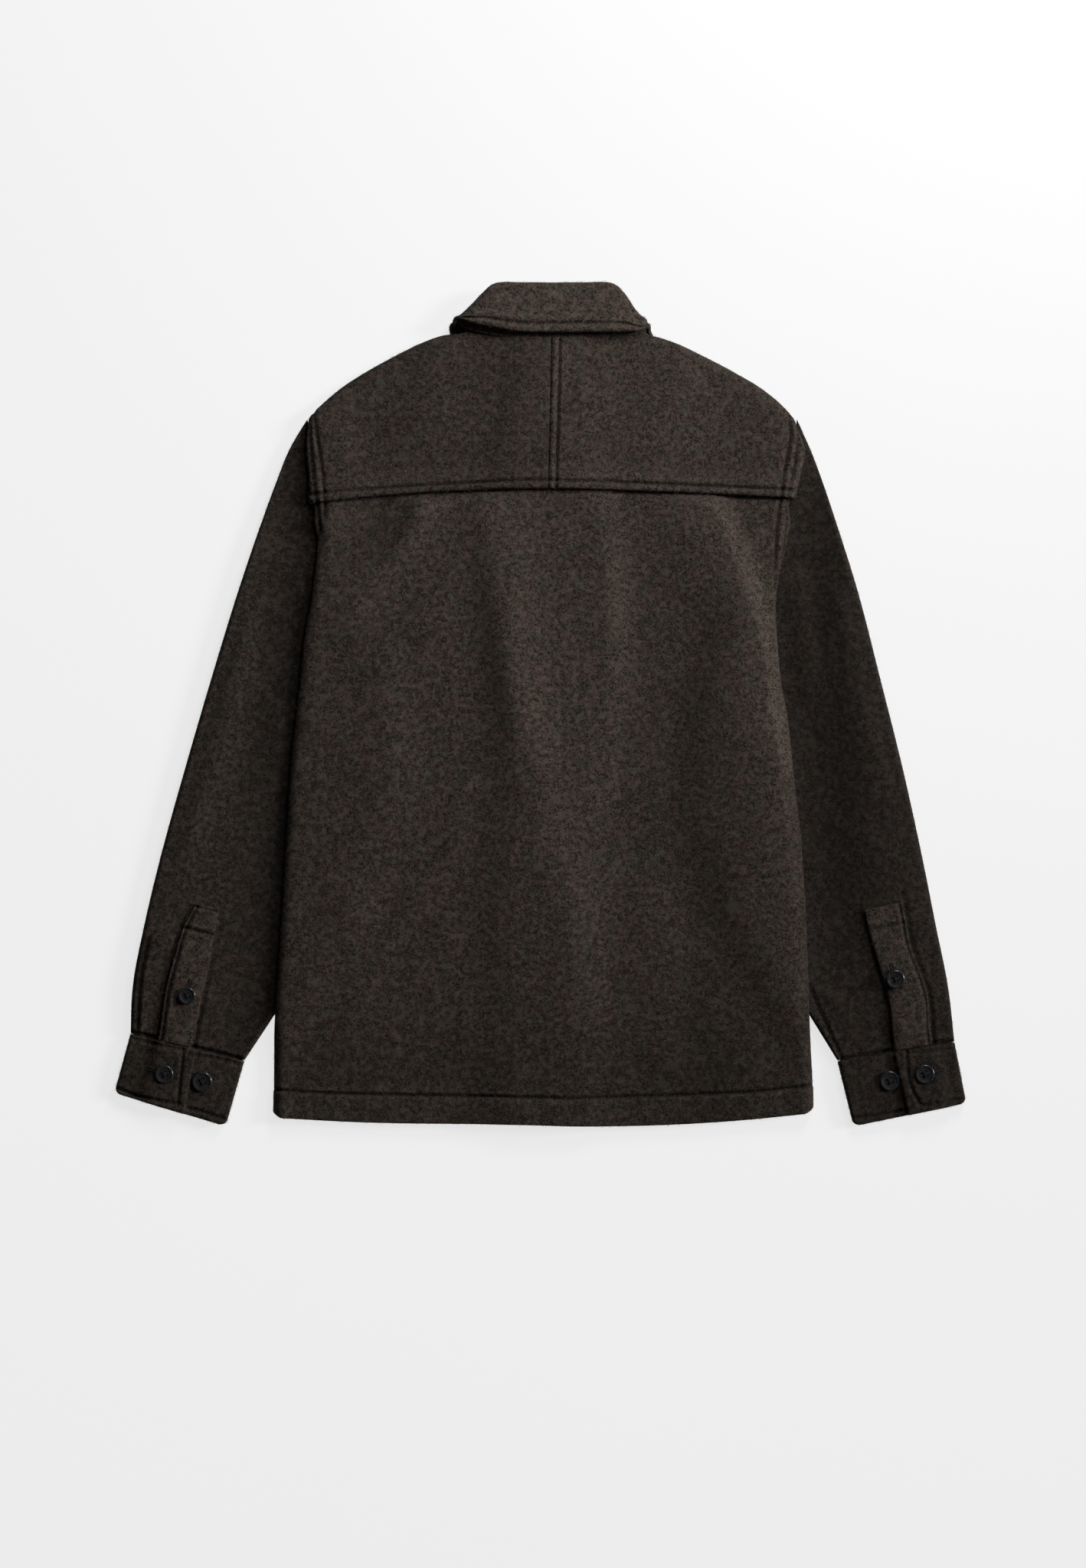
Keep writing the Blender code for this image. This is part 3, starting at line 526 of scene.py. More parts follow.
def back_panel(wool):
    """The back below the yoke, from the turned-up hem to the part that the yoke laps over."""
    hem_steps = rounded_then((6, 1.3), (22, 3.2), (30, FINE), (36, 2.5))
    side_steps = rounded_then((16, 0.9))
    seam_steps = (-7, -5.5, -4.2, -3, -2, -1, 0, 1, 2.5, 5, SEAM_LAP)
    total = len(hem_steps) + BACK_ROWS + len(seam_steps)

    def row(r, x):
        hem, seam = follow(HEM, 1, x), follow(YOKE_SEAM, 1, x)
        if r < len(hem_steps):
            return hem + hem_steps[r]
        if r < len(hem_steps) + BACK_ROWS:
            t = (r - len(hem_steps) + 1) / (BACK_ROWS + 1)
            return (1 - t) * (hem + hem_steps[-1]) + t * (seam + seam_steps[0])
        return seam + seam_steps[r - len(hem_steps) - BACK_ROWS]

    grid = []
    for r in range(total):
        y_left, y_right = row(r, -230), row(r, 240)
        left = follow(SIDES, 1, y_left) + CLOTH / 2 + LAP_TUCK * ease((y_left - 166) / 14)
        right = follow(SIDES, 2, y_right) - CLOTH / 2 - LAP_TUCK * ease((y_right - 170) / 14)
        xs = spaced(left, right, side_steps, side_steps, BACK_COLUMNS - 2 * len(side_steps))
        ys = row(r, xs)
        distance = np.minimum(xs - left, right - xs)
        low_part = ease((follow(HEM, 1, xs) + 30 - ys) / 30)
        ys = ys + 4.5 * np.clip(1 - distance / 8, 0, 1) ** 2 * low_part
        seat = side_seat(ys)
        grid.append(np.stack([xs, ys, seat + (back_middle(xs, ys) - seat) * roll(distance), distance], 1))
    grid = np.array(grid)
    x, y, distance = grid[..., 0], grid[..., 1], grid[..., 3]
    inside = ease(distance / 14) * ease((y + 396) / 40)
    seam_y = follow(YOKE_SEAM, 1, x)
    folds = fold_height(x, y, BACK_FOLDS) * inside * ease((seam_y + 4 - y) / 16)
    grid[..., 2] += folds
    # a dip just under the yoke's edge, whose relief shade also paints a shadow there
    under_yoke = 0.9 * swell(seam_y - y, 3.0)
    sewn = sewn_height(x, y, body_lines("back_panel")) * ease(distance / 3)
    sewn = sewn - under_yoke + 0.5 * ease((follow(HEM, 1, x) + HEM_BAND - y) / 3)
    return cloth_piece("back_panel_cloth", grid[..., :3], CLOTH, wool,
                       folds, sewn, back_painted_shade(x, y))


def yoke_top(x):
    """Upper edge of the yoke, which reaches a little under the collar's stand at the neck."""
    return follow(TOP, 1, x) - CLOTH / 2 + 3.0 * ease((92 - np.abs(x - COLLAR_MIDDLE)) / 12)


def yoke(side, wool):
    """Half of the yoke; the right one has the felled ridge of the middle seam."""
    outward, column = OUTWARD[side], COLUMN[side]
    side_steps = rounded_then((16, 0.9))
    seam_steps = rounded_then((11, FINE))
    low_steps = rounded_then((11, FINE), (20, 1.6))
    top_steps = rounded_then((8, 1.0))
    total = len(low_steps) + YOKE_ROWS + len(top_steps)

    def row(r, x):
        bottom, top = follow(YOKE_SEAM, 1, x), yoke_top(x)
        if r < len(low_steps):
            return bottom + low_steps[r]
        if r < len(low_steps) + YOKE_ROWS:
            t = (r - len(low_steps) + 1) / (YOKE_ROWS + 1)
            return (1 - t) * (bottom + low_steps[-1]) + t * (top - top_steps[-1])
        return top - top_steps[total - 1 - r]

    grid = []
    for r in range(total):
        y_edge = row(r, -216 if side == "left" else 238)
        edge = follow(SIDES, column, y_edge) - outward * CLOTH / 2
        centre = follow(MIDDLE_SEAM, 1, row(r, COLLAR_MIDDLE)) + outward * 0.12
        xs = spaced(edge, centre, side_steps, seam_steps, YOKE_COLUMNS)
        ys = row(r, xs)
        bottom, top = follow(YOKE_SEAM, 1, xs), yoke_top(xs)
        side_gap = np.abs(xs - edge)
        neck = ease((np.abs(xs - COLLAR_MIDDLE) - 78) / 14)
        near_neck = ease((98 - np.abs(xs - COLLAR_MIDDLE)) / 8)
        on_points = wing_under(xs, ys, 25) * ease((ys - 280) / 12)
        seat = side_seat(ys) + (WING_LIFT + 0.2 + 4.4 * near_neck) * on_points
        lap = (CLOTH + 0.5) * ease((26 - (ys - bottom)) / 18)
        neck_rise = 0.8 * ease((ys - 290) / 40) * ease(1 - np.abs(xs - COLLAR_MIDDLE) / 160)
        height = back_middle(xs, ys) + lap + neck_rise
        top_roll = 1 - neck * (1 - roll(top - ys))
        grid.append(np.stack([xs, ys, seat + (height - seat) * roll(side_gap) * top_roll, side_gap], 1))
    grid = np.array(grid)
    if side == "right":
        grid = grid[:, ::-1]
    x, y, side_gap = grid[..., 0], grid[..., 1], grid[..., 3]
    inside = ease(side_gap / 14) * ease((follow(TOP, 1, x) - y) / 26)
    folds = fold_height(x, y, YOKE_FOLDS) * inside * ease((y - follow(YOKE_SEAM, 1, x)) / 16)
    grid[..., 2] += folds
    sewn = sewn_height(x, y, body_lines("yoke_" + side)) * ease(side_gap / 3)
    from_seam = np.abs(x - follow(MIDDLE_SEAM, 1, y))
    sewn += 0.45 * swell(y - follow(YOKE_SEAM, 1, x) - 3.4, 2.6)
    if side == "right":
        sewn += 0.5 * swell(from_seam - 3.6, 2.6)
    return cloth_piece("yoke_%s_cloth" % side, grid[..., :3], CLOTH, wool,
                       folds, sewn)


def front_columns(side, y):
    """X of each column of a front at a height y, from its side seam inward."""
    outward, column = OUTWARD[side], COLUMN[side]
    outer = follow(SIDES, column, y) - outward * FRONT_INSET
    armhole = follow(TUCKED, column, y) - outward * ARMHOLE_GAP
    outer = outer + (armhole - outer) * ease((y - 32) / 14)
    inner = middle(y) - (18.0 if side == "left" else PLACKET_RIGHT)
    return spaced(outer, inner, ROUND_EDGE, ROUND_EDGE, FRONT_COLUMNS)


def front(side, wool):
    """A front panel, from its side seam to the buttoned edge; its outer side is on the floor."""
    neck_drop = tuple(sorted((row[0], row[1]) for row in COLLAR[6:]))
    round_share = np.array(ROUND_EDGE) / FRONT_LENGTH
    shares = np.concatenate([round_share, np.linspace(0.008, 0.992, FRONT_ROWS), 1 - round_share[::-1]])
    grid = []
    for share in shares:
        xs = front_columns(side, -385 + share * (252 + 385))
        for _ in range(3):   # the columns follow the height that they themselves reach
            low = follow(HEM, 1, xs) + 0.6
            across = (xs - COLLAR_MIDDLE) * OUTWARD[side]
            shoulder = follow(TOP, 1, xs) - FRONT_INSET
            neck = follow(neck_drop, 1, np.abs(xs - COLLAR_MIDDLE)) - 2.0
            high = shoulder + (np.minimum(shoulder, neck) - shoulder) * ease((87 - across) / 5)
            ys = low + (high - low) * share
            xs = np.array([front_columns(side, y)[i] for i, y in enumerate(ys)])
        grid.append(np.stack([xs, ys, front_floor(xs, ys) + CLOTH / 2], 1))
    grid = np.array(grid)
    if side == "right":
        grid = grid[:, ::-1]
    return cloth_piece("front_%s_cloth" % side, grid, CLOTH, wool)


def front_placket(wool):
    """The doubled strip on the left front's edge, which lies on the front buttons."""
    rows = spaced(-386, 252, ROUND_EDGE, ROUND_EDGE, 150)
    grid = []
    for y in rows:
        xs = spaced(middle(y) - PLACKET_LEFT, middle(y) + PLACKET_RIGHT, rounded_then((9, FINE)),
                    rounded_then((9, FINE)), 12)
        grid.append(np.stack([xs, np.full(len(xs), y), np.full(len(xs), PLACKET_LIFT + DOUBLED / 2)], 1))
    return cloth_piece("front_placket_cloth", np.array(grid), DOUBLED, wool)


# Sleeves

def sleeve_height(side, x, y):
    """Height of a sleeve's upper side, which puffs up beside the body."""
    beyond = (x - follow(SIDES, COLUMN[side], y)) * OUTWARD[side]
    return SLEEVE_THICK + SLEEVE_PUFF[side] * ease((beyond - 6) / 62) * ease((y + 330) / 60)


def sleeve_line(side, share, across):
    """Points of one station, from the outer fold (0) to the underarm fold (1)."""
    column = COLUMN[side]
    low = -305.1 if side == "left" else -312.9
    y_out = SHOULDER_TIP + (low - SHOULDER_TIP) * share
    y_in = ARMPIT + (-330.4 - ARMPIT) * share ** 1.25
    start = np.array((follow(SLEEVE_OUTER, column, y_out), y_out))
    end = np.array((follow(TUCKED, column, y_in), y_in))
    across = np.asarray(across)[:, None]
    line = start + (end - start) * across
    armhole_y = SHOULDER_TIP + (ARMPIT - SHOULDER_TIP) * across[:, 0]
    armhole = np.stack([follow(TUCKED, column, armhole_y), armhole_y], 1)
    ends = [np.array((follow(TUCKED, column, y), y)) for y in (SHOULDER_TIP, ARMPIT)]
    bend = ease(1 - share / 0.25)
    return line + (armhole - (ends[0] * (1 - across) + ends[1] * across)) * bend


def sleeve_painted_shade(side, place, tops):
    """Painted shade on the sleeves: the left one darker beside the body, as in the body's shadow, and on its
    turned layer by its outer fold; the right one in a band further out.
    """
    beyond = (place[:, 0] - follow(SIDES, COLUMN[side], place[:, 1])) * OUTWARD[side]
    # painted shade: a dark band across the right sleeve
    if side == "right":
        return -2.7 * swell(beyond - 48, 34) * ease((place[:, 1] + 300) / 160), 0.0
    # painted shade: the left sleeve darker beside the body and on its turned layer
    nap_and_shade = -1.6 * ease(1 - beyond / 90) - 2.8 * ease(1 - beyond / 58)
    turned = -3.6 * ease((-208 - place[:, 1]) / 14)
    return nap_and_shade + turned * ease((10.5 - tops) / 2.5), turned[0]


def sleeve_ring(side, share, inset):
    """One station of the flattened tube: round at both folds, at its outer skin or inset from it."""
    ends = sleeve_line(side, share, (0.0, 1.0))
    width = np.linalg.norm(ends[1] - ends[0])
    r_out, r_in = (float(sleeve_height(side, *end)) / 2 for end in ends)
    tops = np.linspace(r_out, width - r_in, SLEEVE_TOP_POINTS)[1:-1]
    place = sleeve_line(side, share, tops / width)
    lows = np.linspace(width - r_in, r_out, SLEEVE_UNDER_POINTS)[1:-1]
    out_arc = np.radians(np.linspace(-90, -270, 11))
    in_arc = np.radians(np.linspace(90, -90, 11))
    top_z = sleeve_height(side, place[:, 0], place[:, 1])
    folds = fold_height(place[:, 0], place[:, 1], SLEEVE_FOLDS[side])
    folds *= ease((tops - r_out) / 16) * ease((width - r_in - tops) / 16)
    ring_d = np.concatenate([r_out + np.cos(out_arc) * (r_out - inset), tops,
                             width - r_in + np.cos(in_arc) * (r_in - inset), lows])
    ring_z = np.concatenate([r_out + np.sin(out_arc) * (r_out - inset), top_z + folds - inset,
                             r_in + np.sin(in_arc) * (r_in - inset), np.full(len(lows), inset)])
    nap_and_shade, fold_shade = sleeve_painted_shade(side, place, tops)
    relief_shade = np.concatenate([np.full(len(out_arc), fold_shade), 0.3 * folds + nap_and_shade,
                             np.zeros(len(in_arc) + len(lows))])
    return np.column_stack([sleeve_line(side, share, ring_d / width), ring_z]), relief_shade


SLEEVE_SEWN = {
    "left": [(1.3, 0.2, ((-377, -304), (-330, -315.5), (-277, -328.5))),
             (0.9, 0.0, ((-322.5, -190), (-333, -211), (-339.5, -233), (-349, -272), (-353, -300),
                         (-355, -312))),
             (0.9, 0.0, ((-294.5, -197), (-299, -214), (-303.5, -236), (-311.5, -274), (-318, -303),
                         (-321, -321))),
             (0.8, 0.0, ((-320.5, -185.5), (-308, -187.2), (-295.5, -191.5))),
             (1.3, 0.1, ((-361, -214), (-368.5, -246), (-371.5, -276), (-373, -300)))],
    "right": [(1.3, 0.2, ((382, -312), (330, -320), (280, -329))),
              (0.9, 0.0, ((337.5, -174), (342, -203), (346.5, -226), (361.5, -270), (364.5, -303),
                          (366, -314))),
              (0.9, 0.0, ((297, -187), (302.5, -209), (309, -232), (321.5, -275), (325.5, -308),
                          (328, -323))),
              (0.8, 0.0, ((337.5, -173.5), (317, -176.0), (298, -181.5))),
              (0.9, 0.1, ((250.3, -261.7), (265.2, -295.1), (274.5, -315.8), (281.6, -330.8)))],
}


def sleeve(side, wool):
    """A flattened tube, open at the armhole and at the cuff."""
    edge = np.array(ROUND_EDGE) / SLEEVE_LENGTH
    near_cuff = np.linspace(0.935, 1 - edge[-1], 26)[:-1]
    shares = np.concatenate([np.linspace(0, 0.93, SLEEVE_STATIONS), near_cuff, 1 - edge[::-1]])
    turn = OUTWARD[side]
    outer, inner, relief_shade = [], [], []
    for share in shares:
        t = np.clip((1 - share) * SLEEVE_LENGTH / (CLOTH / 2), 0, 1)
        full = max(math.sqrt(1 - (1 - t) ** 2), 0.1)
        ring, shade_values = sleeve_ring(side, share, CLOTH / 2 * (1 - full))
        outer.append(ring[::turn])
        relief_shade.append(shade_values[::turn])
        inner.append(sleeve_ring(side, share, CLOTH / 2 * (1 + full))[0][::turn])
    outer, inner, relief_shade = np.array(outer), np.array(inner), np.array(relief_shade)
    up = ease((outer[..., 2] - 3.5) / 2)
    sewn = sewn_height(outer[..., 0], outer[..., 1], SLEEVE_SEWN[side]) * up
    outer[..., 2] += sewn
    # painted shade in the stitched grooves and painted highlight on their puckers
    thing = walled("sleeve_%s_cloth" % side, outer, inner, True, relief_shade + 1.3 * sewn)
    dress(thing, wool, "wool", "sleeve_" + side)
    return thing


# Cuffs and plackets

CUFF_SEWN = {
    "left": [
        (0.8, 0.3, ((-377, -310), (-362, -314), (-330.7, -319.5))),
        (0.9, 0.16, ((-330.0, -319.0), (-335.0, -363.8), (-338.2, -369.2), (-370.6, -363.8),
                     (-391, -356.5))),
        (0.8, 0.3, ((-326, -324.5), (-300, -328.5), (-276, -334.5))),
        (0.8, 0.16, ((-326.4, -374.2), (-308, -379.5), (-291, -385.5))),
    ],
    "right": [
        (0.8, 0.3, ((341, -322.8), (362, -321.5), (383, -319.5))),
        (0.9, 0.16, ((340.0, -318.0), (342.1, -347.1), (349.9, -365.6), (357.1, -371.3), (395, -364.9))),
        (0.8, 0.3, ((280, -336), (302, -328.5), (327.2, -320.8))),
        (0.8, 0.16, ((289, -384), (320, -380), (340, -376))),
    ],
}


def cuff_spot(side, across, down):
    """Places on a cuff, from shares of its width from outside and of its height from the top."""
    top_out, top_in, low_out, low_in = (np.array(corner) for corner in CUFFS[side])
    across, down = np.asarray(across)[..., None], np.asarray(down)[..., None]
    corner = np.clip(1 - np.minimum(across, 1 - across) * CUFF_WIDTH / CORNER_TURN, 0, 1)
    down = np.minimum(down, 1 - 0.09 * corner ** 2)
    top = top_out * (1 - across) + top_in * across
    low = low_out * (1 - across) + low_in * across
    return top * (1 - down) + low * down


def cuff_heights():
    """Middle heights of a cuff's three layers: its underside, upper side and lapping end."""
    low = DOUBLED / 2
    under = low + DOUBLED + REST_GAP
    return low, under, under + DOUBLED + 0.4


def stretch(start, end, spacing=1.3):
    """Evenly spaced places on a straight stretch, without its end."""
    start, end = np.array(start, float), np.array(end, float)
    count = max(2, int(np.linalg.norm(end - start) / spacing))
    return [tuple(start + (end - start) * i / count) for i in range(count)]


def cuff_path(width, lap_end):
    """Across and up round a cuff, from its hidden end over the folds to its lapping end."""
    low, under, over = cuff_heights()
    bend = (under - low) / 2
    edge = bend + DOUBLED / 2
    start = lap_end - CUFF_LAP * width
    path = stretch((start, under), (width - edge, under))
    for angle in np.radians(np.linspace(90, -90, 10)):
        path.append((width - edge + bend * np.cos(angle), low + bend + bend * np.sin(angle)))
    path += stretch((width - edge, low), (edge, low), 4.0)[1:]
    for angle in np.radians(np.linspace(-90, -270, 10)):
        path.append((edge + bend * np.cos(angle), low + bend + bend * np.sin(angle)))
    first = edge + 1.3
    rise = np.linspace(first, start - 3, 12)
    path += [(w, under + (over - under) * float(ease((w - (start - 17)) / 14))) for w in rise]
    rounded = [lap_end - s for s in ROUND_EDGE[::-1]]
    path += stretch((start - 2, over), (rounded[0], over), 1.0)
    path += [(w, over) for w in rounded]
    return np.array(path)


def cuff(side, wool):
    """A doubled strip, wound once round, its outer end lapping over its inner end."""
    downs = spaced(0, CUFF_HEIGHT, ROUND_EDGE, ROUND_EDGE, 50) / CUFF_HEIGHT
    corner = cuff_spot(side, np.array((0.0, 1.0)), np.array((0.5, 0.5)))
    mid_width = np.linalg.norm(corner[1] - corner[0])
    lap_top, lap_low = CUFF_LAP_EDGE[side]
    path = cuff_path(mid_width, mid_width * (lap_top + lap_low) / 2)
    grid = []
    for down in downs:
        lap_shift = (lap_low - lap_top) * (down - 0.5) * ease((path[:, 1] - 6.6) / 1.4)
        spots = cuff_spot(side, path[:, 0] / mid_width + lap_shift, np.full(len(path), down))
        grid.append(np.column_stack([spots, path[:, 1]]))
    grid = np.array(grid)
    if side == "left":
        grid = grid[:, ::-1]
    x, y, z = grid[..., 0], grid[..., 1], grid[..., 2]
    up = ease((z - 3.2) / 1.4)
    spare = BUTTONS[side + "_cuff_button"]
    dimple = -1.5 * swell(np.hypot(x - spare[0], y - spare[1]), 12) * ease((z - 6.5) / 1.5)
    puff = 1.0 * np.sin(np.pi * np.clip(downs, 0, 1))[:, None] ** 0.7 * up
    sewn = sewn_height(x, y, CUFF_SEWN[side]) * up
    grid[..., 2] += dimple + puff
    hole = next(spot[1:3] for spot in BUTTONHOLES if spot[0] == "cuff_" + side)
    # painted shade: the right cuff darker all over, and a darker spot round each cuff's buttonhole
    shade = 1.2 if side == "right" else 0.0
    nap_and_shade = -3.2 * swell(np.hypot(x - hole[0], y - hole[1]), 5.0) * up - shade
    return cloth_piece("cuff_%s_cloth" % side, grid, DOUBLED, wool,
                       dimple, sewn, nap_and_shade)


def sleeve_placket(side, wool):
    """The strip over the sleeve's opening, square at its top."""
    rows = SLEEVE_PLACKETS[side]
    low = -314.5 if side == "left" else -318.0
    ys_along = spaced(low, -187, ROUND_EDGE, rounded_then((4, 0.9)), 92)
    grid = []
    for y in ys_along:
        edges = follow(rows, 1, y), follow(rows, 2, y)
        steps = rounded_then((6, FINE))
        xs = spaced(edges[0], edges[1], steps, steps, 14)
        ys = y + (xs - xs.mean()) * PLACKET_SLANT[side]
        grid.append(np.stack([xs, ys, sleeve_height(side, xs, ys) + 0.4 + CLOTH / 2], 1))
    grid = np.array(grid)
    if side == "right":
        grid = grid[:, ::-1]
    x, y = grid[..., 0], grid[..., 1]
    sewn = sewn_height(x, y, placket_lines(side))
    share = (np.arange(grid.shape[1]) / (grid.shape[1] - 1))[None, :]
    puff = 1.5 * np.sin(np.pi * share) ** 0.8 * ease((-213 - y) / 12) * (1 + 0.2 * np.sin(y / 7))
    grid[..., 2] += puff
    return cloth_piece("sleeve_placket_%s_cloth" % side, grid, CLOTH, wool,
                       puff, sewn)


def across_placket(rows, slant, y):
    """A stitched line straight across a sleeve placket."""
    outer, inner = follow(rows, 1, y), follow(rows, 2, y)
    half = (inner - outer) / 2
    return [(outer, y - half * slant), (inner, y + half * slant)]


def placket_lines(side):
    """Stitched lines of a sleeve placket: its outer edge and the box at its top."""
    rows = SLEEVE_PLACKETS[side]
    slant = PLACKET_SLANT[side]
    top_y = -189.5 if side == "left" else -181.5
    inward = 2.4 if side == "left" else -2.4
    outer = [(row[1] + inward, row[0] + (row[1] + inward - (row[1] + row[2]) / 2) * slant) for row in rows]
    box_y = -210 if side == "left" else -205
    return [(0.9, 0.05, outer), (1.1, 0.05, across_placket(rows, slant, box_y)),
            (0.6, 0.05, across_placket(rows, slant, top_y))]


# Collar

def collar_line(column, share):
    """A line round the collar from three of the table's columns; share is -1 to 1 between its ends."""
    rows = [(i / (len(COLLAR) - 1),) + row[column:column + 3] for i, row in enumerate(COLLAR)]
    whole = [(-t, -x, y, z) for t, x, y, z in rows[:0:-1]] + rows
    x, y, z = (follow(whole, k, share) for k in (1, 2, 3))
    x = x - 6.5 * ease((x - 58) / 30) * ease((y - 335) / 12)
    return np.stack([x + COLLAR_MIDDLE, y, z], -1)


COLLAR_STATIONS = np.linspace(-1, 1, 261)
STAND_THICK = 2.6
STAND_DEPTH = 30        # about the height from the neck seam to the fold line
FALL_DEPTH = 40.0       # about the depth from the fold line to the fall's edge
STAND_SHORT = 1.2       # the stand ends this far inside the fold line
FALL_STITCH = 7.5       # topstitch above the fall's edge


def collar_stand(wool):
    """The stand, from the neck seam nearly to the fold line."""
    neck = collar_line(0, COLLAR_STATIONS)
    fold = collar_line(3, COLLAR_STATIONS)
    length = np.linalg.norm(fold - neck, axis=1, keepdims=True)
    end = 1 - STAND_SHORT / length
    shares = spaced(0, STAND_DEPTH, ROUND_EDGE[::2], ROUND_EDGE[::2], 12) / STAND_DEPTH
    grid = np.array([neck + (fold - neck) * end * t for t in shares])
    return cloth_piece("collar_stand_cloth", grid, STAND_THICK, wool)


def collar_fall(wool):
    """The fall lies over the stand outside the fold line and hooks round the stand's top."""
    neck = collar_line(0, COLLAR_STATIONS)
    fold = collar_line(3, COLLAR_STATIONS)
    edge = collar_line(6, COLLAR_STATIONS)
    edge[:, 1] += 8.0 * ease((-edge[:, 0] - 8) / 66) * ease((COLLAR_STATIONS + 0.47) / 0.05)
    edge[:, 1] -= 2.4 * swell(COLLAR_STATIONS - 0.36, 0.07)
    around = np.gradient(fold, axis=0)
    around /= np.linalg.norm(around, axis=1, keepdims=True)
    away = (fold - neck) / np.linalg.norm(fold - neck, axis=1, keepdims=True)
    away -= around * np.sum(away * around, axis=1, keepdims=True)
    away /= np.linalg.norm(away, axis=1, keepdims=True)
    out = np.cross(away, around)
    out /= np.linalg.norm(out, axis=1, keepdims=True)
    out *= np.where(out[len(out) // 2, 2] > 0, 1, -1)
    beside_neck = swell(np.abs(COLLAR_STATIONS) - 0.5, 0.1)[:, None]
    near = fold + out * (3.4 + 0.5 * beside_neck)
    hook = []
    for angle in np.radians(np.linspace(-4, 66, 7)):
        hook.append(fold + away * (2.1 * np.cos(angle)) + out * (0.4 + 3.2 * np.sin(angle)))
    shares = spaced(0, FALL_DEPTH, (0, 2.0, 3.6), rounded_then((12, FINE)), 16)[1:] / FALL_DEPTH
    grid = hook + [near + (edge - near) * t for t in shares]
    grid = np.array(grid[::-1])
    back_part = ease((0.36 - np.abs(COLLAR_STATIONS)) / 0.08)[None, :]
    run = np.concatenate([np.full(len(hook), 0.0), shares])[::-1][:, None]
    puff = 0.9 * np.sin(np.pi * run) * back_part
    grid[..., 2] += puff
    from_edge = (1 - run) * FALL_DEPTH
    pucker = 0.14 * np.sin(COLLAR_STATIONS * 300 + 2 * np.sin(COLLAR_STATIONS * 40))[None, :]
    groove = from_edge - FALL_STITCH
    sewn = (-GROOVE_DEPTH * swell(groove, GROOVE_WIDTH) + pucker * swell(groove, 3.5)
            + 0.7 * swell(from_edge - 3.6, 2.4) + 0.5 * swell(from_edge - 12, 3))
    return cloth_piece("collar_fall_cloth", grid, DOUBLED, wool,
                       puff, sewn)


# Seam allowances, inside the garment behind its seams

def strip(name, centre, half, thick, wool):
    """A thin strip of cloth along a line of x, y, z places."""
    centre = np.array(centre, float)
    run = np.gradient(centre, axis=0)
    side = np.stack([-run[:, 1], run[:, 0], np.zeros(len(run))], 1)
    side /= np.linalg.norm(side, axis=1, keepdims=True)
    grid = np.array([centre + side * across for across in (-half, 0.4 - half, 0, half - 0.4, half)])
    outer, inner = skins(grid, thick)
    if (outer - inner)[..., 2].mean() < 0:
        outer, inner = inner, outer
        return dress(walled(name, outer[::-1], inner[::-1]), wool, "wool")
    return dress(walled(name, outer, inner), wool, "wool")


def seam_allowances(wool):
    """Strips inside the cuffs' seams, the yoke's middle seam and the neck seam."""
    for side in ("left", "right"):
        ends = cuff_spot(side, np.array((0.022, 0.978)), np.zeros(2))
        line = ends[0] + (ends[1] - ends[0]) * np.linspace(0, 1, 12)[:, None]
        strip("cuff_allowance_" + side, np.column_stack([line, np.full(12, 3.25)]), 7.0, 0.36, wool)
    y = np.linspace(212, 339, 24)
    x = follow(MIDDLE_SEAM, 1, y)
    strip("yoke_allowance", np.column_stack([x, y, back_middle(x, y) - CLOTH / 2 - 0.75]), 8.0, 0.9, wool)
    x = np.linspace(-66, 99, 60)
    z = 8.4 - 1.0 * ease((x - 88) / 11)
    strip("neck_allowance", np.column_stack([x, follow(TOP, 1, x) + 3.0, z]), 5.0, 0.9, wool)


# Buttons

HOLE_PLACE = 0.21       # a hole's distance from the middle on each axis, for a radius of 1
HOLE_CORNERS = ((1, 1), (-1, 1), (-1, -1), (1, -1))
HOLE_RADIUS = 0.135
HEIGHT_UNIT = 9.0       # mm that a height of 1 in the button's mesh stands for
BUTTON_THREAD = 0.3     # radius of the thread on buttons and round buttonholes
THREAD_APART = 0.35     # from the middle of a pair of threads to each
THREAD_ABOVE = 1.7      # heights over the button's back, between the holes and in them
THREAD_IN_HOLE = 0.7


def button_mesh():
    """A turned four-hole button with a radius of 1: a flat back, a dished face and a raised rim."""
    profile = ((0.30, 1.33), (0.55, 1.36), (0.66, 1.46), (0.75, 1.82), (0.84, 2.2), (0.92, 2.1),
               (0.985, 1.6), (1.0, 1.0), (0.97, 0.3), (0.9, 0.0))   # radius, height in mm
    turns = 56
    points = [(0, 0, 1.32 / HEIGHT_UNIT)]
    faces = []
    for radius, height in profile:
        for k in range(turns):
            angle = 2 * math.pi * k / turns
            points.append((radius * math.cos(angle), radius * math.sin(angle), height / HEIGHT_UNIT))
    points.append((0, 0, 0))
    last = 1 + (len(profile) - 1) * turns
    for k in range(turns):
        n = (k + 1) % turns
        faces.append((0, 1 + k, 1 + n))
        for ring in range(len(profile) - 1):
            a, b = 1 + ring * turns, 1 + (ring + 1) * turns
            faces.append((a + k, b + k, b + n, a + n))
        faces.append((last + k, len(points) - 1, last + n))
    body = bpy.data.meshes.new("button_body")
    body.from_pydata(points, [], faces)
    blank = in_scene("button_blank", body)
    cutters = []
    for sx, sy in HOLE_CORNERS:
        bpy.ops.mesh.primitive_cylinder_add(vertices=18, radius=HOLE_RADIUS, depth=1.0,
                                            location=(HOLE_PLACE * sx, HOLE_PLACE * sy, 0.1))
        cutters.append(bpy.context.object)
        cut = blank.modifiers.new("hole", "BOOLEAN")
        cut.operation = "DIFFERENCE"
        cut.object = cutters[-1]
    bpy.context.view_layer.update()
    made = bpy.data.meshes.new_from_object(blank.evaluated_get(bpy.context.evaluated_depsgraph_get()))
    for thing in cutters + [blank]:
        bpy.data.objects.remove(thing)
    made.shade_smooth()
    made.set_sharp_from_angle(angle=0.8)
    return made


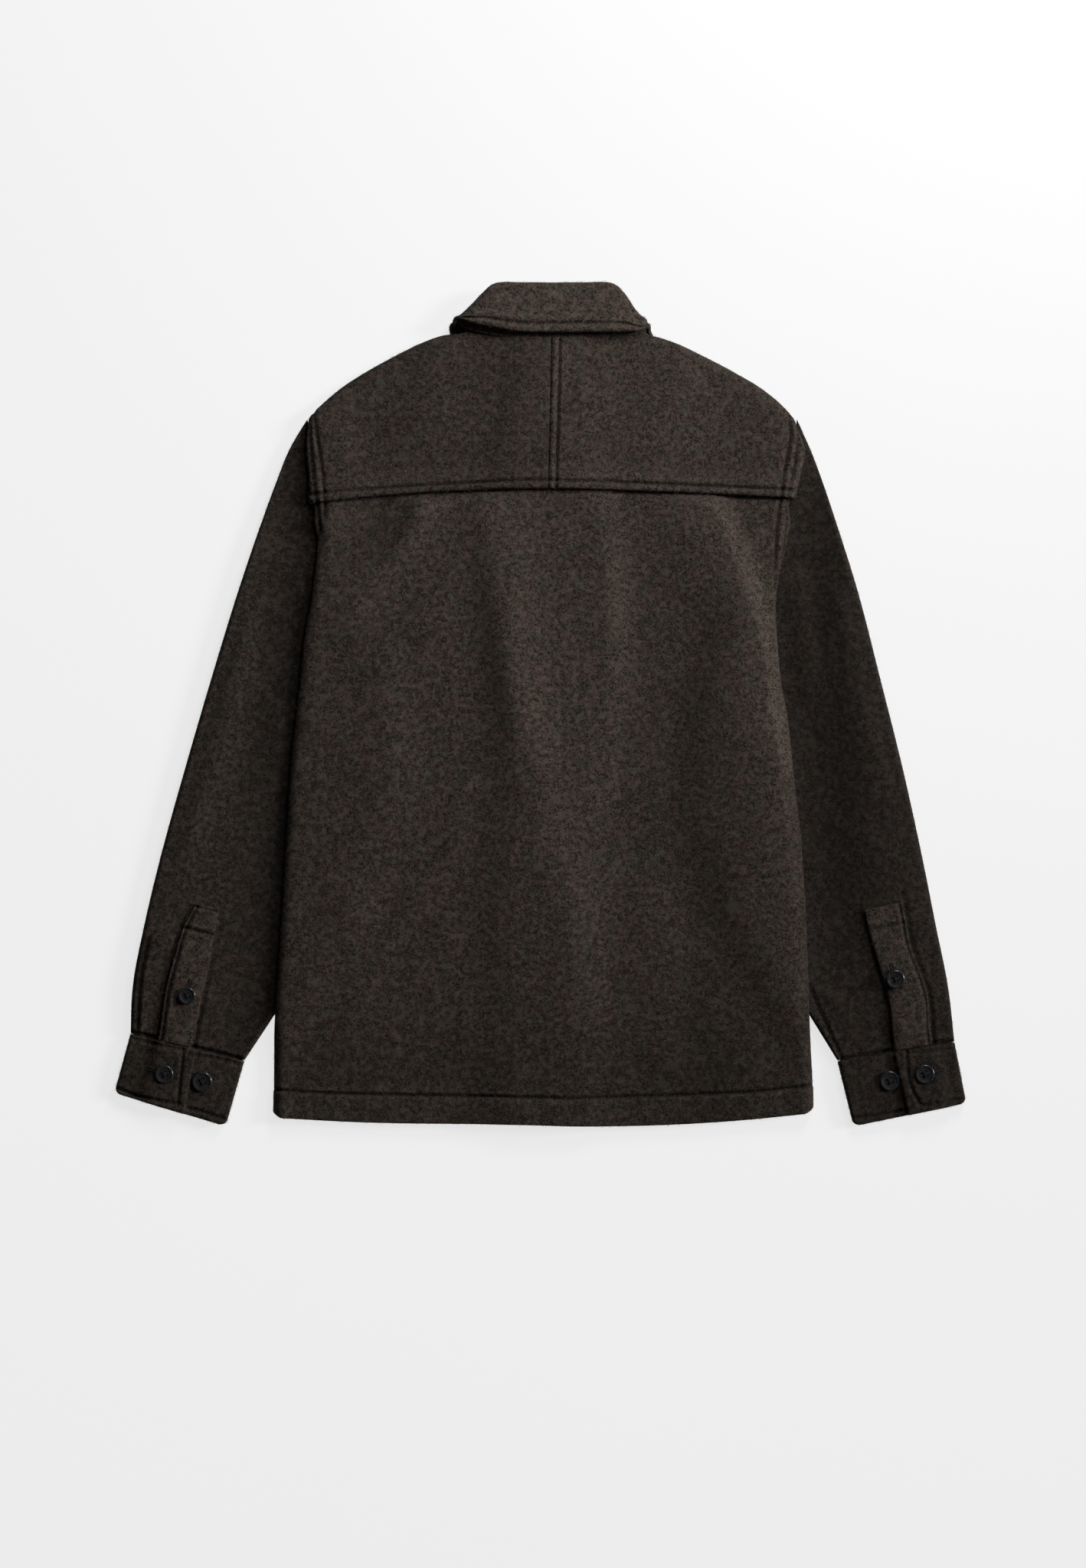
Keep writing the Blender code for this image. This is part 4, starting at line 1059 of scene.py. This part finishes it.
def button(name, made, x, y, z, radius, resin, thread, facing=1, turn=0.4):
    """A button with its crossed threads, facing up (1) or down (-1)."""
    points = np.zeros(len(made.vertices) * 3)
    made.vertices.foreach_get("co", points)
    points = points.reshape(-1, 3) * (radius, radius, HEIGHT_UNIT * facing)
    cos, sin = math.cos(turn), math.sin(turn)
    turned_x = points[:, 0] * cos - points[:, 1] * sin
    turned_y = points[:, 0] * sin + points[:, 1] * cos
    points[:, :2] = np.stack([turned_x, turned_y], 1)
    mesh = made.copy()
    mesh.name = name + "_face"
    mesh.vertices.foreach_set("co", ((points + (x, y, z) - BOX_MIDDLE) * MM).reshape(-1))
    if facing < 0:
        mesh.flip_normals()
    mesh.update()
    thing = dress(in_scene(name + "_face", mesh), resin, "button", name)
    spots = [(radius * HOLE_PLACE * sx, radius * HOLE_PLACE * sy) for sx, sy in HOLE_CORNERS]
    spots = [(px * cos - py * sin, px * sin + py * cos) for px, py in spots]
    strands = []
    for i, j in ((0, 2), (1, 3)):
        for shift in (-THREAD_APART, THREAD_APART):
            a, b = np.array(spots[i]), np.array(spots[j])
            side = np.array((-(b - a)[1], (b - a)[0])) / np.linalg.norm(b - a) * shift
            run = (a * 1.05, a * 0.6, b * 0.6, b * 1.05)
            ends = [(*(p + side + (x, y)), z + facing * THREAD_ABOVE) for p in run]
            for end in (0, 3):
                ends[end] = (*ends[end][:2], z + facing * THREAD_IN_HOLE)
            strands.append((np.array(ends), BUTTON_THREAD))
    tubes(name + "_thread", strands, thread)
    return thing


def tubes(name, strands, material, sides=6):
    """Joined round threads, each a path of points and a radius, with pointed ends."""
    points, faces = [], []
    for path, radius in strands:
        run = np.gradient(path, axis=0)
        run /= np.linalg.norm(run, axis=1, keepdims=True) + 1e-9
        up = np.tile(np.array((0.0, 0.0, 1.0)), (len(path), 1))
        side = np.cross(run, up)
        side /= np.linalg.norm(side, axis=1, keepdims=True) + 1e-9
        up = np.cross(side, run)
        first = len(points)
        for i, p in enumerate(path):
            r = radius * (0.55 if i in (0, len(path) - 1) else 1.0)
            for k in range(sides):
                angle = 2 * math.pi * k / sides
                points.append(p + side[i] * math.cos(angle) * r + up[i] * math.sin(angle) * r)
        for i in range(len(path) - 1):
            for k in range(sides):
                n = (k + 1) % sides
                a = first + i * sides
                faces.append((a + k, a + n, a + sides + n, a + sides + k))
        faces.append(tuple(first + k for k in range(sides))[::-1])
        end = first + (len(path) - 1) * sides
        faces.append(tuple(end + k for k in range(sides)))
    mesh = bpy.data.meshes.new(name)
    mesh.from_pydata(((np.array(points) - BOX_MIDDLE) * MM).tolist(), [], faces)
    mesh.update()
    mesh.shade_smooth()
    return dress(in_scene(name, mesh), material, "wool")


# Materials

def group_shell(name, inputs, outputs):
    """An empty node group with its named inputs and outputs."""
    group = bpy.data.node_groups.new(name, "ShaderNodeTree")
    for title, kind, value in inputs:
        made = group.interface.new_socket(name=title, in_out="INPUT", socket_type=kind)
        made.default_value = value
    for title, kind in outputs:
        group.interface.new_socket(name=title, in_out="OUTPUT", socket_type=kind)
    return group, group.nodes.new("NodeGroupInput"), group.nodes.new("NodeGroupOutput")


def math_node(tree, operation, a, b=None):
    """The result of an operation on one or two values or sockets."""
    node = tree.nodes.new("ShaderNodeMath")
    node.operation = operation
    for i, value in enumerate((a, b)):
        if value is None:
            continue
        if isinstance(value, (int, float)):
            node.inputs[i].default_value = value
        else:
            tree.links.new(value, node.inputs[i])
    return node.outputs[0]


def noise_node(tree, place, scale, detail, rough=0.6, twist=0.0):
    """The value of a noise at a place."""
    node = tree.nodes.new("ShaderNodeTexNoise")
    node.inputs["Scale"].default_value = scale
    node.inputs["Detail"].default_value = detail
    node.inputs["Roughness"].default_value = rough
    node.inputs["Distortion"].default_value = twist
    tree.links.new(place, node.inputs["Vector"])
    return node.outputs["Fac"]


def mix_node(tree, share, a, b, blend="MIX"):
    """Two colours mixed by a share; each is a value or a socket."""
    node = tree.nodes.new("ShaderNodeMix")
    node.data_type = "RGBA"
    node.blend_type = blend
    for i, value in ((0, share), (6, a), (7, b)):
        if isinstance(value, (int, float, tuple)):
            node.inputs[i].default_value = value
        else:
            tree.links.new(value, node.inputs[i])
    return node.outputs[2]


def spread_node(tree, value, low, high):
    """A value spread so that low becomes 0 and high becomes 1."""
    node = tree.nodes.new("ShaderNodeMapRange")
    node.interpolation_type = "SMOOTHSTEP"
    node.inputs["From Min"].default_value = low
    node.inputs["From Max"].default_value = high
    tree.links.new(value, node.inputs["Value"])
    return node.outputs["Result"]


def nap_and_shade_group():
    """Brushed wool: clumps of nap, curly lighter fibres on top, a slow drift of colour, and painted light
    and shade from the relief shade attribute and the piece's tone.
    """
    group, given, put_out = group_shell("wool_nap_and_shade", (
        ("Ground", "NodeSocketColor", (0.007, 0.0055, 0.0046, 1)),
        ("Nap", "NodeSocketColor", (0.049, 0.039, 0.032, 1)),
        ("Fibre", "NodeSocketColor", (0.17, 0.14, 0.118, 1)),
        ("Tone And Shade", "NodeSocketFloat", 1.0),
        ("Clump Size", "NodeSocketFloat", 1.0),
    ), (("Color", "NodeSocketColor"), ("Height", "NodeSocketFloat"), ("Roughness", "NodeSocketFloat")))
    place = own_place(group)
    scaled = group.nodes.new("ShaderNodeVectorMath")
    scaled.operation = "SCALE"
    group.links.new(place, scaled.inputs[0])
    group.links.new(given.outputs["Clump Size"], scaled.inputs["Scale"])
    place = scaled.outputs[0]
    clumps = noise_node(group, place, 520, 3, 0.6, 0.7)
    tufts = noise_node(group, place, 980, 2, 0.6, 0.9)
    drift = noise_node(group, place, 100, 3, 0.6)
    patches = noise_node(group, place, 110, 3, 0.55, 0.6)
    curls = [noise_node(group, place, scale, 2.5, 0.55, twist) for scale, twist in ((560, 2.0), (840, 2.4))]
    fibres = None
    for curl, width in zip(curls, (0.045, 0.05)):
        off = math_node(group, "ABSOLUTE", math_node(group, "SUBTRACT", curl, 0.5))
        line = math_node(group, "SUBTRACT", 1.0, spread_node(group, off, 0.0, width))
        fibres = line if fibres is None else math_node(group, "MAXIMUM", fibres, line)
    broken = spread_node(group, noise_node(group, place, 210, 2, 0.5), 0.42, 0.66)
    fibres = math_node(group, "MULTIPLY", fibres, broken)
    halves = [math_node(group, "MULTIPLY", part, 0.5) for part in (clumps, tufts)]
    mixed = math_node(group, "ADD", *halves)
    share = spread_node(group, mixed, 0.46, 0.555)
    colour = mix_node(group, share, given.outputs["Ground"], given.outputs["Nap"])
    colour = mix_node(group, math_node(group, "MULTIPLY", fibres, 0.62), colour, given.outputs["Fibre"])
    warm = mix_node(group, spread_node(group, drift, 0.36, 0.64), (0.93, 1.0, 0.92, 1), (1.1, 0.97, 0.98, 1))
    colour = mix_node(group, 1.0, colour, warm, "MULTIPLY")
    relief_shade = group.nodes.new("ShaderNodeAttribute")
    relief_shade.attribute_name = "relief_shade"
    # painted shade and highlight: darker where the relief shade is low, lighter where it is high
    painted_shade = math_node(group, "MULTIPLY", relief_shade.outputs["Fac"], 0.16)
    painted_shade = math_node(group, "MINIMUM", math_node(group, "MAXIMUM", painted_shade, -0.7), 0.5)
    patch = math_node(group, "MULTIPLY", math_node(group, "SUBTRACT", patches, 0.5), 0.8)
    tone_and_shade = math_node(group, "ADD", math_node(group, "ADD", painted_shade, patch), 1.0)
    # the piece's tone paints light and shade over it
    tone_and_shade = math_node(group, "MULTIPLY", tone_and_shade, given.outputs["Tone And Shade"])
    grey = group.nodes.new("ShaderNodeCombineColor")
    for socket in grey.inputs:
        group.links.new(tone_and_shade, socket)
    colour = mix_node(group, 1.0, colour, grey.outputs[0], "MULTIPLY")
    height = math_node(group, "ADD", mixed, math_node(group, "MULTIPLY", fibres, 0.35))
    rough = math_node(group, "SUBTRACT", 1.0, math_node(group, "MULTIPLY", fibres, 0.18))
    group.links.new(colour, put_out.inputs["Color"])
    group.links.new(height, put_out.inputs["Height"])
    group.links.new(rough, put_out.inputs["Roughness"])
    return group


def own_place(tree):
    """The place of each point of a piece, in the piece's own frame."""
    return tree.nodes.new("ShaderNodeTexCoord").outputs["Object"]


def material_shell(name):
    """A new material with its node tree and its shader."""
    made = bpy.data.materials.new(name)
    made.use_nodes = True
    return made, made.node_tree, made.node_tree.nodes["Principled BSDF"]


def brushed_wool(name, nap_and_shade, tone_and_shade):
    """The garment's wool, made lighter or darker per piece by a tone that paints light and shade."""
    made, tree, shader = material_shell(name)
    cloth = tree.nodes.new("ShaderNodeGroup")
    cloth.node_tree = nap_and_shade
    # the tone paints light and shade over the whole piece
    cloth.inputs["Tone And Shade"].default_value = tone_and_shade
    bump = tree.nodes.new("ShaderNodeBump")
    bump.inputs["Strength"].default_value = 1.0
    bump.inputs["Distance"].default_value = 0.0036
    tree.links.new(cloth.outputs["Color"], shader.inputs["Base Color"])
    tree.links.new(cloth.outputs["Roughness"], shader.inputs["Roughness"])
    tree.links.new(cloth.outputs["Height"], bump.inputs["Height"])
    tree.links.new(bump.outputs["Normal"], shader.inputs["Normal"])
    shader.inputs["Specular IOR Level"].default_value = 0.06
    shader.inputs["Sheen Weight"].default_value = 0.03
    shader.inputs["Sheen Roughness"].default_value = 0.6
    shader.inputs["Sheen Tint"].default_value = (0.62, 0.52, 0.45, 1)
    return made


def button_resin():
    """Dark polished resin with faint streaks and a fine grain."""
    made, tree, shader = material_shell("button_resin")
    place = own_place(tree)
    streaks = noise_node(tree, place, 330, 3, 0.55, 1.5)
    grains = noise_node(tree, place, 2400, 2, 0.5)
    dark, pale = (0.005, 0.0054, 0.006, 1), (0.014, 0.015, 0.017, 1)
    colour = mix_node(tree, spread_node(tree, streaks, 0.35, 0.7), dark, pale)
    tree.links.new(colour, shader.inputs["Base Color"])
    tree.links.new(spread_node(tree, grains, -0.25, 2.25), shader.inputs["Roughness"])
    shader.inputs["Specular IOR Level"].default_value = 0.42
    bump = tree.nodes.new("ShaderNodeBump")
    bump.inputs["Strength"].default_value = 0.12
    bump.inputs["Distance"].default_value = 0.0002
    tree.links.new(grains, bump.inputs["Height"])
    tree.links.new(bump.outputs["Normal"], shader.inputs["Normal"])
    return made


def sewing_thread():
    """Dark matt thread."""
    made, tree, shader = material_shell("sewing_thread")
    twist = noise_node(tree, own_place(tree), 2600, 2, 0.5)
    colour = mix_node(tree, twist, (0.006, 0.005, 0.005, 1), (0.022, 0.018, 0.015, 1))
    tree.links.new(colour, shader.inputs["Base Color"])
    shader.inputs["Roughness"].default_value = 0.85
    shader.inputs["Specular IOR Level"].default_value = 0.08
    return made


def fibre_material():
    """Wool of the loose fibres, from dark to pale."""
    made, tree, shader = material_shell("loose_fibres")
    shade = noise_node(tree, own_place(tree), 300, 2, 0.5)
    dark, pale = (0.012, 0.0095, 0.008, 1), (0.085, 0.069, 0.057, 1)
    colour = mix_node(tree, spread_node(tree, shade, 0.35, 0.65), dark, pale)
    tree.links.new(colour, shader.inputs["Base Color"])
    shader.inputs["Roughness"].default_value = 0.8
    shader.inputs["Specular IOR Level"].default_value = 0.15
    return made


def pale_floor():
    """The pale grey ground, which gives off light of its own so that it stays even."""
    made, tree, shader = material_shell("pale_floor")
    duller, paler = (0.128, 0.128, 0.128, 1), (0.132, 0.132, 0.132, 1)
    colour = mix_node(tree, noise_node(tree, own_place(tree), 3, 2), duller, paler)
    tree.links.new(colour, shader.inputs["Base Color"])
    shader.inputs["Roughness"].default_value = 1.0
    shader.inputs["Specular IOR Level"].default_value = 0.0
    shader.inputs["Emission Color"].default_value = (1, 1, 1, 1)
    shader.inputs["Emission Strength"].default_value = 0.745
    return made


# Sewing

ABOVE_ALL = 0.08        # metres, higher than every piece


def surface_of(thing):
    """A piece's faces, made ready for finding its upper side."""
    places = [v.co for v in thing.data.vertices]
    return BVHTree.FromPolygons(places, [face.vertices for face in thing.data.polygons])


def top_of(tree, x, y):
    """Height of a piece's upper side above a place, in mm, or None beside the piece."""
    start = Vector(((x - BOX_MIDDLE[0]) * MM, (y - BOX_MIDDLE[1]) * MM, ABOVE_ALL))
    hit = tree.ray_cast(start, Vector((0, 0, -1)))
    return None if hit[0] is None else hit[0].z / MM


STITCH = 3.1
STITCH_PITCH = 4.1
STITCH_THREAD = 0.34    # radius of the topstitch's thread


def stitches_along(path, tree, sink=0.12):
    """Stitches that lie along a line on a piece's upper side."""
    path = smooth_path(path, 90)
    lengths = np.insert(np.cumsum(np.linalg.norm(np.diff(path, axis=0), axis=1)), 0, 0)
    strands = []
    for start in np.arange(2.0, lengths[-1] - STITCH, STITCH_PITCH):
        strand = []
        for share, lift in ((0.0, -0.3), (0.25, 0.12), (0.75, 0.12), (1.0, -0.3)):
            s = start + STITCH * share
            x = float(np.interp(s, lengths, path[:, 0]))
            y = float(np.interp(s, lengths, path[:, 1]))
            z = top_of(tree, x, y)
            if z is None:
                break
            strand.append((x, y, z + lift - sink))
        if len(strand) == 4:
            strands.append((np.array(strand), STITCH_THREAD))
    return strands


def buttonhole(x, y, angle, length, tree):
    """A worked buttonhole: short bars of thread round a slit."""
    strands = []
    run = np.array((math.cos(angle), math.sin(angle)))
    side = np.array((-run[1], run[0]))
    for s in np.linspace(-length / 2, length / 2, 24):
        for way in (-1, 1):
            a = np.array((x, y)) + run * s + side * way * 0.35
            b = a + side * way * 1.5
            z = top_of(tree, float(b[0]), float(b[1]))
            if z is not None:
                bar = np.array(((*a, z - 0.1), (*(a + b) / 2, z + 0.3), (*b, z - 0.1)))
                strands.append((bar, BUTTON_THREAD))
    return strands


BUTTONHOLE = 8.0        # length of a buttonhole
BUTTONHOLES = (   # piece, x, y, turn in degrees
    ("cuff_left", -358.5, -338.5, -14), ("sleeve_placket_left", -323.4, -258.6, 76),
    ("cuff_right", 369.5, -341.2, 10), ("sleeve_placket_right", 326.6, -243.6, 104),
)


def loose_fibres(name, thing, count, seed, material, long=4.5):
    """Wool fibres that stand off a piece: thin, bent and pointed, most of them along its edges."""
    rng = np.random.default_rng(seed)
    mesh = thing.data
    mesh.calc_loop_triangles()
    points = np.empty(len(mesh.vertices) * 3)
    mesh.vertices.foreach_get("co", points)
    points = points.reshape(-1, 3) / MM + BOX_MIDDLE
    corners = np.empty(len(mesh.loop_triangles) * 3, int)
    mesh.loop_triangles.foreach_get("vertices", corners)
    a, b, c = (points[corners.reshape(-1, 3)[:, k]] for k in range(3))
    normal = np.cross(b - a, c - a)
    area = np.linalg.norm(normal, axis=1)
    normal = normal / (area[:, None] + 1e-12)
    weight = area * np.where(normal[:, 2] > -0.35, 1 + 16 * (1 - np.abs(normal[:, 2])) ** 1.5, 0)
    pick = rng.choice(len(area), count, p=weight / weight.sum())
    u, v = rng.random((2, count, 1))
    flip = u + v > 1
    u, v = np.where(flip, 1 - u, u), np.where(flip, 1 - v, v)
    root = a[pick] + (b - a)[pick] * u + (c - a)[pick] * v
    out = normal[pick]
    lay = rng.normal(size=(count, 3))
    lay -= out * np.sum(lay * out, axis=1, keepdims=True)
    lay /= np.linalg.norm(lay, axis=1, keepdims=True)
    bend = np.cross(out, lay) * rng.normal(0, 0.55, (count, 1))
    length = rng.uniform(0.35, 1.0, (count, 1)) * long
    stand = rng.uniform(0.12, 0.5, (count, 1)) * length * 0.55
    middle_point = root + lay * length * 0.5 + out * stand + bend * length * 0.3
    tip = root + lay * length * 0.9 + out * stand * 0.8 + bend * length * 0.95
    side = np.cross(out, tip - root)
    side /= np.linalg.norm(side, axis=1, keepdims=True) + 1e-9
    thick = rng.uniform(0.045, 0.085, (count, 1))
    rings = []
    for centre, share in ((root - out * 0.15, 1.0), (middle_point, 0.8)):
        for across, up in ((-1, -0.58), (1, -0.58), (0, 1.15)):
            rings.append(centre + side * across * thick * share + out * up * thick * share)
    placed = np.stack(rings + [tip], 1).reshape(-1, 3)
    placed[:, 2] = np.maximum(placed[:, 2], 0.05)
    base = np.arange(count)[:, None] * 7
    quads = np.concatenate([base + np.array(q) for q in ((0, 1, 4, 3), (1, 2, 5, 4), (2, 0, 3, 5))])
    ends = np.concatenate([base + np.array(t) for t in ((3, 4, 6), (4, 5, 6), (5, 3, 6), (0, 2, 1))])
    mesh = bpy.data.meshes.new(name)
    mesh.from_pydata(((placed - BOX_MIDDLE) * MM).tolist(), [], quads.tolist() + ends.tolist())
    mesh.update()
    return dress(in_scene(name, mesh), material, "wool")


FIBRE_COUNTS = (
    ("back_panel", 9000), ("yoke_left", 2200), ("yoke_right", 2200), ("sleeve_left", 3000),
    ("sleeve_right", 3000), ("cuff_left", 1500), ("cuff_right", 1500), ("sleeve_placket_left", 500),
    ("sleeve_placket_right", 500), ("collar_fall", 2000),
)


# Floor, light and camera

FLOOR_HALF = 4.0         # metres
FLOOR_HEIGHT = -0.0004
PHOTO_HEIGHT = 1.458     # metres of floor that the photograph shows from top to bottom
LENS = 85.0
SENSOR = 36.0
AIM = (0.0025, -0.0750)


def aim_light(name, lamp, place):
    """Puts a lamp at a place and points it at the garment's middle."""
    thing = in_scene(name, lamp)
    thing.location = place
    thing.rotation_euler = Vector(place).to_track_quat("Z", "Y").to_euler()


def light_and_camera():
    """A low sun from the right, a lamp from beyond the collar, and a camera straight above."""
    scene = bpy.context.scene
    world = bpy.data.worlds.new("studio")
    scene.world = world
    world.use_nodes = True
    back = world.node_tree.nodes["Background"]
    back.inputs["Color"].default_value = (1, 1, 1, 1)
    back.inputs["Strength"].default_value = 0.08
    side = bpy.data.lights.new("side", "SUN")
    side.energy = 4.6
    side.angle = math.radians(12)
    aim_light("side", side, (2.0, 0.45, 0.68))
    key = bpy.data.lights.new("key", "AREA")
    key.energy = 34
    key.shape = "DISK"
    key.size = 0.6
    aim_light("key", key, (0.7, 1.35, 0.85))
    lens = bpy.data.cameras.new("camera")
    lens.lens = LENS
    lens.sensor_width = SENSOR
    lens.clip_end = 20
    camera = in_scene("camera", lens)
    camera.location = (AIM[0], AIM[1], PHOTO_HEIGHT * LENS / SENSOR)
    scene.camera = camera
    scene.view_settings.view_transform = "Standard"


def lay_floor():
    """A wide pale ground just under the garment."""
    mesh = bpy.data.meshes.new("floor")
    mesh.from_pydata([(x * FLOOR_HALF, y * FLOOR_HALF, FLOOR_HEIGHT)
                      for x, y in ((-1, -1), (1, -1), (1, 1), (-1, 1))], [], [(0, 1, 2, 3)])
    floor = in_scene("floor", mesh)
    mesh.materials.append(pale_floor())


def cloth_pieces(wools):
    """All the sheets of cloth that a maker cuts, by the names of their solids."""
    pieces = {}
    for side in ("left", "right"):
        pieces["front_" + side] = front(side, wools["front"])
        pieces["sleeve_" + side] = sleeve(side, wools["sleeve_" + side])
    pieces["front_placket"] = front_placket(wools["front"])
    pieces["back_panel"] = back_panel(wools["back_panel"])
    for side in ("left", "right"):
        pieces["yoke_" + side] = yoke(side, wools["yoke_" + side])
        pieces["cuff_" + side] = cuff(side, wools["cuff"])
        pieces["sleeve_placket_" + side] = sleeve_placket(side, wools["placket"])
    pieces["collar_stand"] = collar_stand(wools["collar"])
    pieces["collar_fall"] = collar_fall(wools["collar"])
    return pieces


def sew_lines(tops, thread):
    """The raised stitches along the stitched lines of the back, the yoke, the cuffs, the sleeve plackets and
    one line of the right sleeve.
    """
    sewing = []
    for piece in ("back_panel", "yoke_left", "yoke_right"):
        for _, _, line in body_lines(piece):
            sewing += stitches_along(line, tops[piece])
    tubes("body_stitches", sewing, thread)
    for side in ("left", "right"):
        sewing = []
        for _, _, line in CUFF_SEWN[side]:
            sewing += stitches_along(line, tops["cuff_" + side])
        for _, _, line in placket_lines(side):
            sewing += stitches_along(line, tops["sleeve_placket_" + side])
        if side == "right":   # the only line of a sleeve itself that shows its thread
            sewing += stitches_along(SLEEVE_SEWN[side][4][2], tops["sleeve_" + side])
        tubes("sleeve_stitches_" + side, sewing, thread)


def sew_buttons(tops, thread):
    """The buttons of both sleeves, those under the front, and the worked buttonholes."""
    made = button_mesh()
    resin = button_resin()
    for name, (x, y, radius) in BUTTONS.items():
        side = name.split("_")[0]
        carrier = "sleeve_placket_" + side if "placket" in name else "cuff_" + side
        z = top_of(tops[carrier], x, y)
        button(name, made, x, y, z + 0.2, radius, resin, thread)
    for i, y in enumerate(FRONT_BUTTON_ROWS):
        name = "front_button_%d" % (i + 1)
        button(name, made, middle(y), y, BUTTON_THICK, FRONT_BUTTON, resin, thread, facing=-1)
    for side in ("left", "right"):
        strands = []
        for piece, x, y, turn in BUTTONHOLES:
            if piece.endswith(side):
                strands += buttonhole(x, y, math.radians(turn), BUTTONHOLE, tops[piece])
        tubes("buttonholes_" + side, strands, thread)


def main():
    """Lays the floor and the cloth, sews it, and sets the light and the camera."""
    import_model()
    nap_and_shade = nap_and_shade_group()
    wools = {name: brushed_wool("wool_" + name, nap_and_shade, tone_and_shade) for name, tone_and_shade in WOOL_TONES_AND_SHADE.items()}
    lay_floor()
    pieces = cloth_pieces(wools)
    seam_allowances(wools["front"])
    tops = {name: surface_of(thing) for name, thing in pieces.items()}
    thread = sewing_thread()
    sew_lines(tops, thread)
    sew_buttons(tops, thread)
    fibre = fibre_material()
    for seed, (piece, count) in enumerate(FIBRE_COUNTS):
        loose_fibres(piece + "_fibres", pieces[piece], count, seed, fibre)
    light_and_camera()


main()
